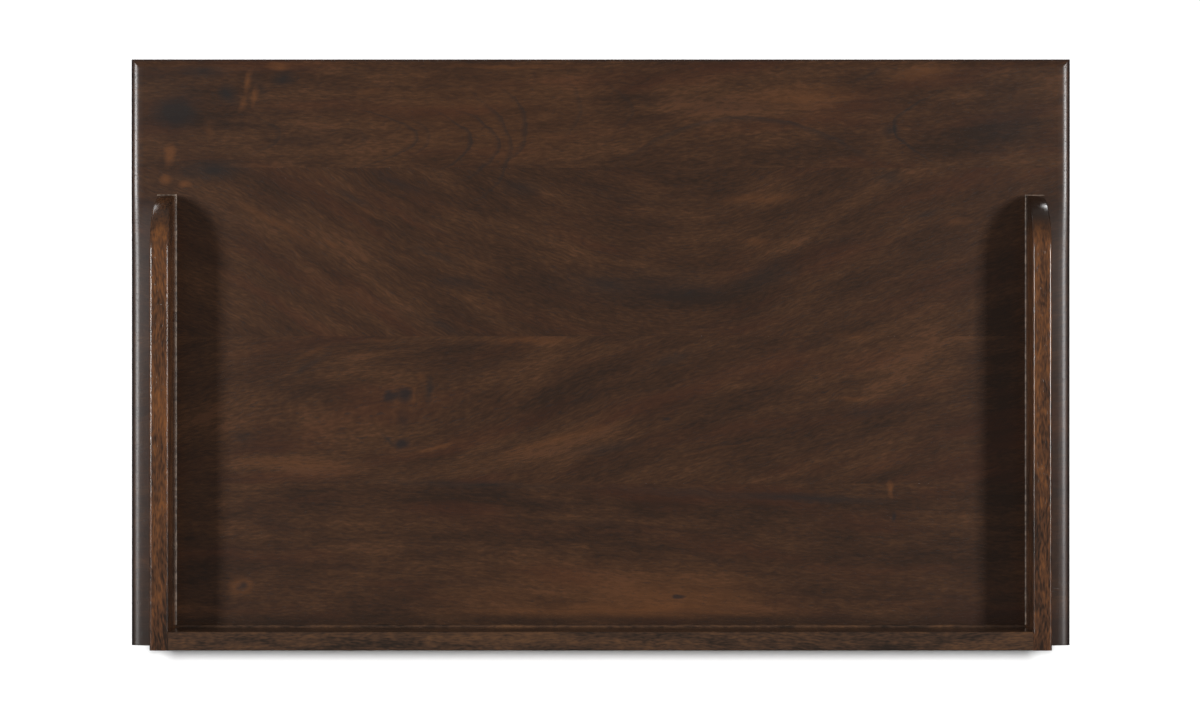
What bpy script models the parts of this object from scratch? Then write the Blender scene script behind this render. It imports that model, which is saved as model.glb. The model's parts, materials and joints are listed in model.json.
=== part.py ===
"""A two-drawer wooden nightstand with a low gallery round three sides of its top.

Units are metres and +Z is up. The front faces -Y.
The origin is on the floor under the middle of the top.
"""

import math

import bmesh
import bpy
from mathutils import Matrix, Vector

X, Y, Z = range(3)

# Top
TOP_WIDTH = 0.660
TOP_DEPTH = 0.412
TOP_THICKNESS = 0.022
TOP_HEIGHT = 0.640
TOP_ROUND = 0.005
TOP_UNDER_ROUND = 0.003
SIDE_OVERHANG = 0.0185
FRONT_OVERHANG = 0.026
BACK_OVERHANG = 0.004

# Gallery
GALLERY_THICKNESS = 0.013
GALLERY_HEIGHT = 0.038
GALLERY_SETBACK = 0.096
GALLERY_NOSE = 0.040
GALLERY_ROUND = 0.0013
GALLERY_TENON_LENGTH = 0.005
GALLERY_TENON_THICKNESS = 0.005
DOWEL_RADIUS = 0.003
DOWEL_IN_RAIL = 0.016
DOWEL_IN_TOP = 0.013
DOWEL_FROM_NOSE = 0.030
DOWEL_FROM_BACK = 0.060
DOWEL_FROM_END = 0.078

# Legs and glides
LEG_SIZE = 0.040
FOOT_SIZE = 0.026
LEG_ROUND = 0.0015
TAPER_DROP = 0.012
GLIDE_RADIUS = 0.010
GLIDE_HEIGHT = 0.004
GLIDE_ROUND = 0.0015
GLIDE_PIN_RADIUS = 0.0015
GLIDE_PIN_LENGTH = 0.014

# Case
CASE_BOTTOM = 0.165
PANEL_THICKNESS = 0.016
PANEL_RECESS = 0.006
PANEL_TONGUE = 0.008
BACK_PANEL_THICKNESS = 0.010
BACK_PANEL_RECESS = 0.006
TOP_RAIL_HEIGHT = 0.022
DIVIDER_HEIGHT = 0.020
BOTTOM_RAIL_HEIGHT = 0.032
UPPER_OPENING = 0.170
RAIL_TENON_SHOULDER = 0.005
MORTISE_WALL = 0.003
RAIL_ROUND = 0.001
RUNNER_BEARING = 0.016
RUNNER_HOUSING = 0.005
STOP_BLOCK_WIDTH = 0.040
STOP_BLOCK_DEPTH = 0.014
STOP_BLOCK_GAP = 0.004

# Drawers
DRAWER_REVEAL = 0.0015
DRAWER_FRONT_THICKNESS = 0.020
DRAWER_FRONT_ROUND = 0.0015
DRAWER_SIDE_THICKNESS = 0.013
DRAWER_SIDE_TOP_GAP = 0.003
DRAWER_BACK_THICKNESS = 0.012
DRAWER_BACK_INSET = 0.006
DRAWER_BACK_HOUSING = 0.004
DRAWER_BOTTOM_THICKNESS = 0.006
DRAWER_BOTTOM_RAISE = 0.010
DRAWER_BOTTOM_GROOVE = 0.005
DRAWER_REAR_SPACE = 0.012
TAIL_PITCH = 0.036
TAIL_LAP = 0.005
TAIL_SLOPE = 6.0
HALF_PIN = 0.006
PIN_TIP = 0.005

# Knobs
KNOB_FROM_EDGE = 0.120
KNOB_RADIUS = 0.015
KNOB_PROJECTION = 0.024
KNOB_HEAD_HALF = 0.007
KNOB_NECK_RADIUS = 0.0065
KNOB_FOOT_RADIUS = 0.009
KNOB_FOOT_THICKNESS = 0.003
KNOB_HEAD_STEPS = 8

# Turn buttons on the drawer backs
BUTTON_LENGTH = 0.040
BUTTON_WIDTH = 0.016
BUTTON_THICKNESS = 0.007
BUTTON_CATCH = 0.006
BUTTON_END_STEPS = 6

# Wood screws
SCREW_RADIUS = 0.002
SCREW_TIP = 0.004
SCREW_HEAD_RADIUS = 0.004
SCREW_HEAD_FLAT_RADIUS = 0.0028
SCREW_HEAD_THICKNESS = 0.0025
SCREW_HEAD_RIM = 0.0012
SCREW_SLOT_WIDTH = 0.001
SCREW_SLOT_DEPTH = 0.001
KNOB_SCREW_BITE = 0.013
TOP_SCREW_BITE = 0.013
TOP_SCREW_FROM_LEG = 0.050
BUTTON_SCREW_BITE = 0.008

# Gaps and facets
FIT = 0.0003
COUNTERBORE_GAP = 0.001
PAST = 0.002
ROUND_SIDES = 16
ROUND_STEPS = 3
EASE_STEPS = 2
NOSE_STEPS = 10
SHARP_ANGLE = math.radians(35)

# Places that follow from the sizes above
TOP_FRONT = -TOP_DEPTH / 2
TOP_BACK = TOP_DEPTH / 2
TOP_UNDER = TOP_HEIGHT - TOP_THICKNESS
CASE_HALF = TOP_WIDTH / 2 - SIDE_OVERHANG
CASE_FRONT = TOP_FRONT + FRONT_OVERHANG
CASE_BACK = TOP_BACK - BACK_OVERHANG
CASE_TOP = TOP_UNDER - FIT
LEG_INNER = CASE_HALF - LEG_SIZE
RAIL_BACK = CASE_FRONT + LEG_SIZE
BACK_LEG_FRONT = CASE_BACK - LEG_SIZE
PANEL_OUTER = CASE_HALF - PANEL_RECESS
PANEL_INNER = PANEL_OUTER - PANEL_THICKNESS
RAIL_TENON_LENGTH = PANEL_INNER - LEG_INNER - MORTISE_WALL
BACK_PANEL_BACK = CASE_BACK - BACK_PANEL_RECESS
BACK_PANEL_FRONT = BACK_PANEL_BACK - BACK_PANEL_THICKNESS
TOP_RAIL_BOTTOM = CASE_TOP - TOP_RAIL_HEIGHT
DIVIDER_TOP = TOP_RAIL_BOTTOM - UPPER_OPENING
DIVIDER_BOTTOM = DIVIDER_TOP - DIVIDER_HEIGHT
BOTTOM_RAIL_TOP = CASE_BOTTOM + BOTTOM_RAIL_HEIGHT
LOWER_OPENING = DIVIDER_BOTTOM - BOTTOM_RAIL_TOP
GALLERY_BASE = TOP_HEIGHT + FIT
GALLERY_FRONT = TOP_FRONT + GALLERY_SETBACK
GALLERY_INNER = CASE_HALF - GALLERY_THICKNESS
GALLERY_CREST = GALLERY_BASE + GALLERY_HEIGHT
RUNNER_INNER = LEG_INNER - RUNNER_BEARING
SIDES = {"left": -1, "right": 1}


def clear_scene():
    for obj in list(bpy.data.objects):
        bpy.data.objects.remove(obj, do_unlink=True)


def finish(name, colour, roughness, metallic=0.0):
    """A plain surface finish."""
    material = bpy.data.materials.new(name)
    material.use_nodes = True
    shader = material.node_tree.nodes["Principled BSDF"]
    shader.inputs["Base Color"].default_value = (*colour, 1.0)
    shader.inputs["Roughness"].default_value = roughness
    shader.inputs["Metallic"].default_value = metallic
    return material


def place(name, bm, material, parent, at=(0, 0, 0)):
    """A named object from a closed shape, under its parent."""
    bmesh.ops.recalc_face_normals(bm, faces=bm.faces)
    mesh = bpy.data.meshes.new(name)
    bm.to_mesh(mesh)
    bm.free()
    if material:
        mesh.materials.append(material)
    return place_mesh(name, mesh, parent, at)


def place_mesh(name, mesh, parent, at=(0, 0, 0), turn=None):
    """A named object that may share its mesh with its copies."""
    obj = bpy.data.objects.new(name, mesh)
    bpy.context.scene.collection.objects.link(obj)
    obj.parent = parent
    obj.location = at
    if turn:
        obj.rotation_euler = turn
    return obj


def guide(name, at=(0, 0, 0), parent=None):
    """An empty that carries the pieces which move together."""
    empty = bpy.data.objects.new(name, None)
    bpy.context.scene.collection.objects.link(empty)
    empty.parent = parent
    empty.location = at
    return empty


def cut(target, name, bm):
    """Takes a shape, given in the frame of the target's parent, out of the target."""
    cutter = place(f"cut_{target.name}_{name}", bm, None, target.parent)
    cutter.hide_render = True
    cutter.display_type = "WIRE"
    modifier = target.modifiers.new(name, "BOOLEAN")
    modifier.operation = "DIFFERENCE"
    modifier.object = cutter


def block(low, high, grow=0.0):
    """A box between two corners, grown on every side."""
    low = Vector(low) - Vector((grow,) * 3)
    high = Vector(high) + Vector((grow,) * 3)
    bm = bmesh.new()
    bmesh.ops.create_cube(bm, size=1)
    bmesh.ops.scale(bm, vec=high - low, verts=bm.verts)
    bmesh.ops.translate(bm, vec=(low + high) / 2, verts=bm.verts)
    return bm


def mirrored_block(side, low, high, grow=0.0):
    """A box given on the right-hand side, or its twin on the left."""
    ends = sorted((side * low[X], side * high[X]))
    return block((ends[0], low[Y], low[Z]), (ends[1], high[Y], high[Z]), grow)


def prism(outline, axis, low, high, bm=None):
    """An outline across the other two axes, in X, Y, Z order, drawn out along one axis."""
    bm = bm or bmesh.new()
    verts = []
    for point in outline:
        spot = list(point)
        spot.insert(axis, low)
        verts.append(bm.verts.new(spot))
    grown = bmesh.ops.extrude_face_region(bm, geom=[bm.faces.new(verts)])
    shift = Vector((0, 0, 0))
    shift[axis] = high - low
    moved = [item for item in grown["geom"] if isinstance(item, bmesh.types.BMVert)]
    bmesh.ops.translate(bm, vec=shift, verts=moved)
    return bm


def turned(profile):
    """A solid of revolution about Z from (radius, height) points whose ends lie on the axis."""
    bm = bmesh.new()
    verts = [bm.verts.new((radius, 0, height)) for radius, height in profile]
    edges = [bm.edges.new(pair) for pair in zip(verts, verts[1:])]
    bmesh.ops.spin(
        bm,
        geom=verts + edges,
        cent=(0, 0, 0),
        axis=(0, 0, 1),
        angle=2 * math.pi,
        steps=ROUND_SIDES,
        use_merge=True,
    )
    bmesh.ops.remove_doubles(bm, verts=bm.verts, dist=1e-6)
    return bm


def turned_mesh(name, profile, material):
    """A smooth turned shape that several objects can share."""
    bm = turned(profile)
    bmesh.ops.recalc_face_normals(bm, faces=bm.faces)
    mesh = bpy.data.meshes.new(name)
    bm.to_mesh(mesh)
    bm.free()
    mesh.materials.append(material)
    mesh.shade_smooth()
    mesh.set_sharp_from_angle(angle=SHARP_ANGLE)
    return mesh


def peg(centre, axis, low, high, radius):
    """A round bar along an axis. The centre gives the other two coordinates in X, Y, Z order."""
    bm = turned([(0, low), (radius, low), (radius, high), (0, high)])
    turns = {X: Matrix.Rotation(math.pi / 2, 3, "Y"), Y: Matrix.Rotation(-math.pi / 2, 3, "X")}
    if axis in turns:
        bmesh.ops.rotate(bm, cent=(0, 0, 0), matrix=turns[axis], verts=bm.verts)
    spot = list(centre)
    spot.insert(axis, 0)
    bmesh.ops.translate(bm, vec=spot, verts=bm.verts)
    return bm


def smooth(obj):
    obj.data.shade_smooth()
    obj.data.set_sharp_from_angle(angle=SHARP_ANGLE)


def ease(bm, radius, steps, wanted):
    """Rounds the edges that the test picks by their middle and their direction."""
    edges = []
    for edge in bm.edges:
        ends = [vert.co for vert in edge.verts]
        if wanted((ends[0] + ends[1]) / 2, (ends[1] - ends[0]).normalized()):
            edges.append(edge)
    bmesh.ops.bevel(
        bm,
        geom=edges,
        offset=radius,
        offset_type="OFFSET",
        segments=steps,
        profile=0.5,
        affect="EDGES",
        clamp_overlap=True,
        material=-1,
    )


def add_tenon(bm, axis, direction, shoulder, length):
    """Draws a tenon out of the end face that looks along the axis."""
    bm.normal_update()
    ends = [face for face in bm.faces if face.normal[axis] * direction > 0.99]
    end = max(ends, key=lambda face: face.calc_center_median()[axis] * direction)
    bmesh.ops.inset_individual(bm, faces=[end], thickness=shoulder, use_even_offset=True)
    grown = bmesh.ops.extrude_discrete_faces(bm, faces=[end])
    shift = Vector((0, 0, 0))
    shift[axis] = direction * length
    bmesh.ops.translate(bm, vec=shift, verts=grown["faces"][0].verts)


def near(value, target):
    return abs(value - target) < 1e-6


# Top and gallery


def make_top(wood, parent):
    """The glued-up top: rounded on the front and the sides, square at the back."""
    low = (-TOP_WIDTH / 2, TOP_FRONT, TOP_UNDER)
    bm = block(low, (TOP_WIDTH / 2, TOP_BACK, TOP_HEIGHT))

    def rim(level):
        def wanted(middle, direction):
            return near(middle.z, level) and not near(middle.y, TOP_BACK) and abs(direction.z) < 0.5

        return wanted

    ease(bm, TOP_ROUND, ROUND_STEPS, rim(TOP_HEIGHT))
    ease(bm, TOP_UNDER_ROUND, EASE_STEPS, rim(TOP_UNDER))
    top = place("top_panel", bm, wood, parent)
    smooth(top)
    return top


def nose_outline():
    """The side rail seen from the side: a quarter-round nose, a straight top and a square back end."""
    points = [(TOP_BACK, GALLERY_BASE)]
    for step in range(NOSE_STEPS + 1):
        angle = math.pi / 2 * step / NOSE_STEPS
        y = GALLERY_FRONT + GALLERY_NOSE * (1 - math.cos(angle))
        points.append((y, GALLERY_BASE + GALLERY_HEIGHT * math.sin(angle)))
    points.append((TOP_BACK, GALLERY_CREST))
    return points


def dowel_places():
    """Each dowel's name, the rail it holds and its place on the top."""
    side_x = CASE_HALF - GALLERY_THICKNESS / 2
    front_y = GALLERY_FRONT + GALLERY_NOSE + DOWEL_FROM_NOSE
    places = []
    for hand, side in SIDES.items():
        places.append((f"gallery_dowel_{hand}_front", hand, (side * side_x, front_y)))
        places.append((f"gallery_dowel_{hand}_back", hand, (side * side_x, TOP_BACK - DOWEL_FROM_BACK)))
    for name, step in (("left", -1), ("middle", 0), ("right", 1)):
        spot = (step * (GALLERY_INNER - DOWEL_FROM_END), TOP_BACK - GALLERY_THICKNESS / 2)
        places.append((f"gallery_dowel_back_{name}", "back", spot))
    return places


def make_gallery(top, wood, dowel_wood, parent):
    """Three rails on the top, the back one tenoned between the other two, all held by dowels."""
    back_front = TOP_BACK - GALLERY_THICKNESS
    shoulder = (GALLERY_THICKNESS - GALLERY_TENON_THICKNESS) / 2
    rails = {}
    for hand, side in SIDES.items():
        ends = sorted((side * GALLERY_INNER, side * CASE_HALF))
        bm = prism(nose_outline(), X, *ends)
        ease(
            bm,
            GALLERY_ROUND,
            EASE_STEPS,
            lambda middle, direction: abs(direction.x) < 0.5
            and middle.z > GALLERY_BASE + FIT
            and not near(middle.y, TOP_BACK),
        )
        rails[hand] = place(f"gallery_{hand}_rail", bm, wood, parent)
        smooth(rails[hand])
        mortise = mirrored_block(
            side,
            (GALLERY_INNER - PAST, back_front + shoulder, GALLERY_BASE + shoulder),
            (GALLERY_INNER + GALLERY_TENON_LENGTH, TOP_BACK - shoulder, GALLERY_CREST - shoulder),
            FIT,
        )
        cut(rails[hand], "mortise", mortise)

    half = GALLERY_INNER - FIT
    bm = block((-half, back_front, GALLERY_BASE), (half, TOP_BACK, GALLERY_CREST))
    for direction in SIDES.values():
        add_tenon(bm, X, direction, shoulder, GALLERY_TENON_LENGTH)
    ease(
        bm,
        GALLERY_ROUND,
        EASE_STEPS,
        lambda middle, direction: near(middle.z, GALLERY_CREST) and abs(direction.x) > 0.5,
    )
    rails["back"] = place("gallery_back_rail", bm, wood, parent)
    smooth(rails["back"])

    for name, rail, spot in dowel_places():
        low, high = TOP_HEIGHT - DOWEL_IN_TOP, GALLERY_BASE + DOWEL_IN_RAIL
        dowel = place(name, peg(spot, Z, low, high, DOWEL_RADIUS), dowel_wood, parent)
        smooth(dowel)
        bore = DOWEL_RADIUS + FIT
        cut(top, name, peg(spot, Z, low - FIT, TOP_HEIGHT + PAST, bore))
        cut(rails[rail], name, peg(spot, Z, GALLERY_BASE - PAST, high + FIT, bore))


# Legs and case


def make_leg(name, x_side, y_side, wood, parent):
    """A square post that tapers on its two inner faces below the case."""
    corner = Vector((x_side * CASE_HALF, CASE_FRONT if y_side < 0 else CASE_BACK, 0))
    bottom, top = GLIDE_HEIGHT + FIT, CASE_TOP
    levels = [(bottom, FOOT_SIZE), (CASE_BOTTOM - TAPER_DROP, LEG_SIZE), (top, LEG_SIZE)]
    bm = bmesh.new()
    rings = []
    for height, size in levels:
        spots = [(0, 0), (-x_side * size, 0), (-x_side * size, -y_side * size), (0, -y_side * size)]
        rings.append([bm.verts.new(corner + Vector((x, y, height))) for x, y in spots])
    for lower, upper in zip(rings, rings[1:]):
        for i in range(4):
            j = (i + 1) % 4
            bm.faces.new((lower[i], lower[j], upper[j], upper[i]))
    bm.faces.new(rings[0])
    bm.faces.new(rings[-1])
    bmesh.ops.recalc_face_normals(bm, faces=bm.faces)
    ease(bm, LEG_ROUND, EASE_STEPS, lambda middle, direction: abs(direction.z) > 0.5)
    return place(name, bm, wood, parent)


def make_glide(name, x_side, y_side, leg, steel, parent):
    """A domed disc with a pin that is driven into the foot."""
    inset = FOOT_SIZE / 2
    back = CASE_FRONT if y_side < 0 else CASE_BACK
    spot = (x_side * (CASE_HALF - inset), back - y_side * inset, 0)
    rim = GLIDE_RADIUS - GLIDE_ROUND
    tip = GLIDE_HEIGHT + GLIDE_PIN_LENGTH
    profile = [
        (0, 0),
        (rim, 0),
        (GLIDE_RADIUS, GLIDE_ROUND),
        (GLIDE_RADIUS, GLIDE_HEIGHT),
        (GLIDE_PIN_RADIUS, GLIDE_HEIGHT),
        (GLIDE_PIN_RADIUS, tip - GLIDE_PIN_RADIUS),
        (0, tip),
    ]
    bm = turned(profile)
    bmesh.ops.translate(bm, vec=spot, verts=bm.verts)
    smooth(place(name, bm, steel, parent))
    hole = peg(spot[:2], Z, GLIDE_HEIGHT - PAST, tip + FIT, GLIDE_PIN_RADIUS + FIT)
    cut(leg, "glide_pin", hole)


def front_rails():
    """Each front rail's name with its lower and upper level."""
    return {
        "front_top_rail": (TOP_RAIL_BOTTOM, CASE_TOP),
        "front_divider_rail": (DIVIDER_BOTTOM, DIVIDER_TOP),
        "front_bottom_rail": (CASE_BOTTOM, BOTTOM_RAIL_TOP),
    }


def make_front_rails(legs, wood, parent):
    """Three rails as deep as the legs, tenoned into them."""
    shoulder = RAIL_TENON_SHOULDER
    for name, (bottom, top) in front_rails().items():
        bm = block((FIT - LEG_INNER, CASE_FRONT, bottom), (LEG_INNER - FIT, RAIL_BACK, top))
        for direction in SIDES.values():
            add_tenon(bm, X, direction, shoulder, RAIL_TENON_LENGTH)
        ease(
            bm,
            RAIL_ROUND,
            EASE_STEPS,
            lambda middle, direction: near(middle.y, CASE_FRONT) and abs(direction.x) > 0.5,
        )
        place(name, bm, wood, parent)
        for hand, side in SIDES.items():
            mortise = mirrored_block(
                side,
                (LEG_INNER - PAST, CASE_FRONT + shoulder, bottom + shoulder),
                (LEG_INNER + RAIL_TENON_LENGTH, RAIL_BACK - shoulder, top - shoulder),
                FIT,
            )
            cut(legs[f"front_{hand}_leg"], f"{name}_mortise", mortise)


def make_side_panels(legs, wood, parent):
    """A panel on each side, its ends let into grooves in the legs."""
    panels = {}
    for hand, side in SIDES.items():
        ends = (RAIL_BACK - PANEL_TONGUE + FIT, BACK_LEG_FRONT + PANEL_TONGUE - FIT)
        low = (PANEL_INNER, ends[0], CASE_BOTTOM)
        high = (PANEL_OUTER, ends[1], CASE_TOP)
        panels[hand] = place(f"{hand}_side_panel", mirrored_block(side, low, high), wood, parent)
        groove_top = CASE_TOP + PAST
        for row, y0, y1 in (
            ("front", ends[0], RAIL_BACK + PAST),
            ("back", BACK_LEG_FRONT - PAST, ends[1]),
        ):
            groove = mirrored_block(side, (low[X], y0, CASE_BOTTOM), (high[X], y1, groove_top), FIT)
            cut(legs[f"{row}_{hand}_leg"], "side_panel_groove", groove)
    return panels


def make_back_panel(legs, wood, parent):
    """One panel across the back, let into grooves in the back legs."""
    half = LEG_INNER + PANEL_TONGUE - FIT
    low, high = (-half, BACK_PANEL_FRONT, CASE_BOTTOM), (half, BACK_PANEL_BACK, CASE_TOP)
    place("back_panel", block(low, high), wood, parent)
    for hand, side in SIDES.items():
        start = (LEG_INNER - PAST, BACK_PANEL_FRONT, CASE_BOTTOM)
        groove = mirrored_block(side, start, (half, BACK_PANEL_BACK, CASE_TOP + PAST), FIT)
        cut(legs[f"back_{hand}_leg"], "back_panel_groove", groove)


def make_runners(panels, wood, parent):
    """Strips that carry the drawers and keep them from tipping, each housed in a side panel."""
    levels = {
        "kicker": (TOP_RAIL_BOTTOM, CASE_TOP),
        "upper_runner": (DIVIDER_BOTTOM, DIVIDER_TOP),
        "lower_runner": (CASE_BOTTOM, BOTTOM_RAIL_TOP),
    }
    strips = {}
    for hand, side in SIDES.items():
        for name, (bottom, top) in levels.items():
            low = (RUNNER_INNER, RAIL_BACK + FIT, bottom)
            high = (PANEL_INNER + RUNNER_HOUSING, BACK_LEG_FRONT - FIT, top)
            bm = mirrored_block(side, low, high)
            strips[f"{hand}_{name}"] = place(f"{hand}_{name}", bm, wood, parent)
            start = (PANEL_INNER - PAST, low[Y], bottom)
            cut(panels[hand], f"{name}_housing", mirrored_block(side, start, high, FIT))
    return strips


def make_stop_block(name, level, wood, parent):
    """A block on a rail that the back of a drawer front meets when the drawer is shut."""
    front = CASE_FRONT + DRAWER_FRONT_THICKNESS + FIT
    low = (-STOP_BLOCK_WIDTH / 2, front, level + FIT)
    top = level + FIT + DRAWER_BOTTOM_RAISE - STOP_BLOCK_GAP
    high = (STOP_BLOCK_WIDTH / 2, front + STOP_BLOCK_DEPTH, top)
    place(name, block(low, high), wood, parent)


# Screws


def screw_mesh(name, length, steel):
    """A pan-headed wood screw that points along +Z, with the underside of its head at the origin."""
    head = -SCREW_HEAD_THICKNESS
    profile = [
        (0, head),
        (SCREW_HEAD_FLAT_RADIUS, head),
        (SCREW_HEAD_RADIUS, -SCREW_HEAD_RIM),
        (SCREW_HEAD_RADIUS, 0),
        (SCREW_RADIUS, 0),
        (SCREW_RADIUS, length - SCREW_TIP),
        (0, length),
    ]
    return turned_mesh(name, profile, steel)


def slot_mesh(name):
    """The screwdriver slot, cut out of a screw's head."""
    reach = SCREW_HEAD_RADIUS + PAST
    half = SCREW_SLOT_WIDTH / 2
    floor = SCREW_SLOT_DEPTH - SCREW_HEAD_THICKNESS
    bm = block((-reach, -half, -SCREW_HEAD_THICKNESS - PAST), (reach, half, floor))
    mesh = bpy.data.meshes.new(name)
    bm.to_mesh(mesh)
    bm.free()
    return mesh


def drive(name, mesh, slot, parent, at, turn=(0, 0, 0)):
    """One screw in its place, with the slot cut in its head."""
    screw = place_mesh(name, mesh, parent, at, turn)
    cutter = place_mesh(f"cut_{name}_slot", slot, parent, at, turn)
    cutter.hide_render = True
    cutter.display_type = "WIRE"
    modifier = screw.modifiers.new("slot", "BOOLEAN")
    modifier.operation = "DIFFERENCE"
    modifier.object = cutter
    return screw


def fix_top(top, strips, steel, slot, parent):
    """Screws up through the kickers hold the top down. Their heads sit in counterbores."""
    seat = TOP_RAIL_BOTTOM + SCREW_HEAD_THICKNESS + COUNTERBORE_GAP
    tip = TOP_UNDER + TOP_SCREW_BITE
    mesh = screw_mesh("top_screw", tip - seat, steel)
    x = (RUNNER_INNER + PANEL_INNER) / 2
    rows = {"front": RAIL_BACK + TOP_SCREW_FROM_LEG, "back": BACK_LEG_FRONT - TOP_SCREW_FROM_LEG}
    for hand, side in SIDES.items():
        kicker = strips[f"{hand}_kicker"]
        for row, y in rows.items():
            name = f"top_screw_{row}_{hand}"
            spot = (side * x, y)
            drive(name, mesh, slot, parent, (*spot, seat))
            bore = SCREW_RADIUS + FIT
            cut(kicker, f"{row}_bore", peg(spot, Z, seat - PAST, CASE_TOP + PAST, bore))
            wide = SCREW_HEAD_RADIUS + COUNTERBORE_GAP
            cut(kicker, f"{row}_pocket", peg(spot, Z, TOP_RAIL_BOTTOM - PAST, seat + FIT, wide))
            cut(top, name, peg(spot, Z, TOP_UNDER - PAST, tip + FIT, bore))


# Drawers


def tails(opening):
    """The dovetails of a drawer side: each one's middle height and its half widths at root and tip."""
    low = DRAWER_REVEAL + HALF_PIN
    high = opening - DRAWER_SIDE_TOP_GAP - HALF_PIN
    count = max(2, round((high - low) / TAIL_PITCH))
    pitch = (high - low) / count
    at_tip = (pitch - PIN_TIP) / 2
    at_root = at_tip - (DRAWER_FRONT_THICKNESS - TAIL_LAP) / TAIL_SLOPE
    return [(low + (i + 0.5) * pitch, at_root, at_tip) for i in range(count)]


def side_outline(opening, rear):
    """A drawer side seen from the side, with its tails at the front."""
    root, tip = DRAWER_FRONT_THICKNESS + FIT, TAIL_LAP + FIT
    low, high = FIT, opening - DRAWER_SIDE_TOP_GAP
    points = [(rear, low), (rear, high), (root, high)]
    for middle, at_root, at_tip in reversed(tails(opening)):
        points += [(root, middle + at_root), (tip, middle + at_tip)]
        points += [(tip, middle - at_tip), (root, middle - at_root)]
    points.append((root, low))
    return points


def tail_sockets(opening, side, inner, outer):
    """The sockets in a drawer front that take the tails of one side."""
    bm = bmesh.new()
    start, end = DRAWER_FRONT_THICKNESS + PAST, TAIL_LAP
    ends = sorted((side * (inner - FIT), side * (outer + PAST)))
    for middle, at_root, at_tip in tails(opening):
        near_half, far_half = at_root - PAST / TAIL_SLOPE + FIT, at_tip + FIT
        outline = [
            (start, middle - near_half),
            (start, middle + near_half),
            (end, middle + far_half),
            (end, middle - far_half),
        ]
        prism(outline, X, *ends, bm=bm)
    return bm


def knob_mesh(wood):
    """A turned knob about Z: a foot, a straight neck and a rounded head, with a blind hole for its screw."""
    middle = KNOB_PROJECTION - KNOB_HEAD_HALF
    start = math.asin(KNOB_NECK_RADIUS / KNOB_RADIUS)
    profile = [(0, 0), (KNOB_FOOT_RADIUS, 0), (KNOB_FOOT_RADIUS, KNOB_FOOT_THICKNESS / 2)]
    profile.append((KNOB_NECK_RADIUS, KNOB_FOOT_THICKNESS))
    for step in range(KNOB_HEAD_STEPS + 1):
        angle = start + (math.pi - start) * step / KNOB_HEAD_STEPS
        radius = KNOB_RADIUS * math.sin(angle) if step < KNOB_HEAD_STEPS else 0
        profile.append((radius, middle - KNOB_HEAD_HALF * math.cos(angle)))
    return turned_mesh("knob", profile, wood)


def make_drawer_box(drawer, opening, finishes, carrier):
    """A front, two dovetailed sides, a back and a bottom, in the frame of the drawer's opening."""
    half = LEG_INNER - DRAWER_REVEAL
    inner = half - DRAWER_SIDE_THICKNESS
    rear = BACK_PANEL_FRONT - DRAWER_REAR_SPACE - CASE_FRONT
    front_low, front_high = DRAWER_REVEAL, opening - DRAWER_REVEAL
    bottom_low = FIT + DRAWER_BOTTOM_RAISE
    bottom_high = bottom_low + DRAWER_BOTTOM_THICKNESS
    groove = inner + DRAWER_BOTTOM_GROOVE
    groove_front = DRAWER_FRONT_THICKNESS - DRAWER_BOTTOM_GROOVE

    bm = block((-half, 0, front_low), (half, DRAWER_FRONT_THICKNESS, front_high))
    ease(bm, DRAWER_FRONT_ROUND, EASE_STEPS, lambda middle, direction: near(middle.y, 0))
    front = place(f"{drawer}_front", bm, finishes["case"], carrier)

    low = (FIT - groove, groove_front + FIT, bottom_low)
    high = (groove - FIT, rear - FIT, bottom_high)
    place(f"{drawer}_bottom", block(low, high), finishes["drawer"], carrier)
    cut(front, "bottom_groove", block(low, high, FIT))

    back_front = rear - DRAWER_BACK_INSET - DRAWER_BACK_THICKNESS
    housed = inner + DRAWER_BACK_HOUSING
    back_top = opening - DRAWER_SIDE_TOP_GAP
    back_low = (FIT - housed, back_front, bottom_high + FIT)
    back_high = (housed - FIT, back_front + DRAWER_BACK_THICKNESS, back_top)
    back = place(f"{drawer}_back", block(back_low, back_high), finishes["drawer"], carrier)

    for hand, side in SIDES.items():
        ends = sorted((side * inner, side * half))
        bm = prism(side_outline(opening, rear), X, *ends)
        piece = place(f"{drawer}_{hand}_side", bm, finishes["drawer"], carrier)
        cut(front, f"{hand}_sockets", tail_sockets(opening, side, inner, half))
        start = (inner - PAST, low[Y], bottom_low)
        slide_in = mirrored_block(side, start, (groove - FIT, rear + PAST, bottom_high), FIT)
        cut(piece, "bottom_groove", slide_in)
        start = (inner - PAST, back_front, back_low[Z])
        dado = mirrored_block(side, start, (housed - FIT, back_high[Y], back_top + PAST), FIT)
        cut(piece, "back_housing", dado)
    return front, back, back_front


def fit_knobs(drawer, opening, front, meshes, carrier):
    """Two knobs on a drawer front, each held by a screw from inside."""
    height = opening / 2
    head_seat = DRAWER_FRONT_THICKNESS + FIT
    forward = (math.pi / 2, 0, 0)
    for hand, side in SIDES.items():
        x = side * (LEG_INNER - DRAWER_REVEAL - KNOB_FROM_EDGE)
        name = f"{drawer}_{hand}_knob"
        knob = place_mesh(name, meshes["knob"], carrier, (x, -FIT, height), forward)
        seat = (x, head_seat, height)
        drive(f"{name}_screw", meshes["knob_screw"], meshes["slot"], carrier, seat, forward)
        bore = SCREW_RADIUS + FIT
        cut(front, f"{hand}_knob_hole", peg((x, height), Y, -PAST, head_seat + PAST, bore))
        cut(knob, "screw_hole", peg((x, height), Y, -KNOB_SCREW_BITE - 2 * FIT, PAST, bore))


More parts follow.
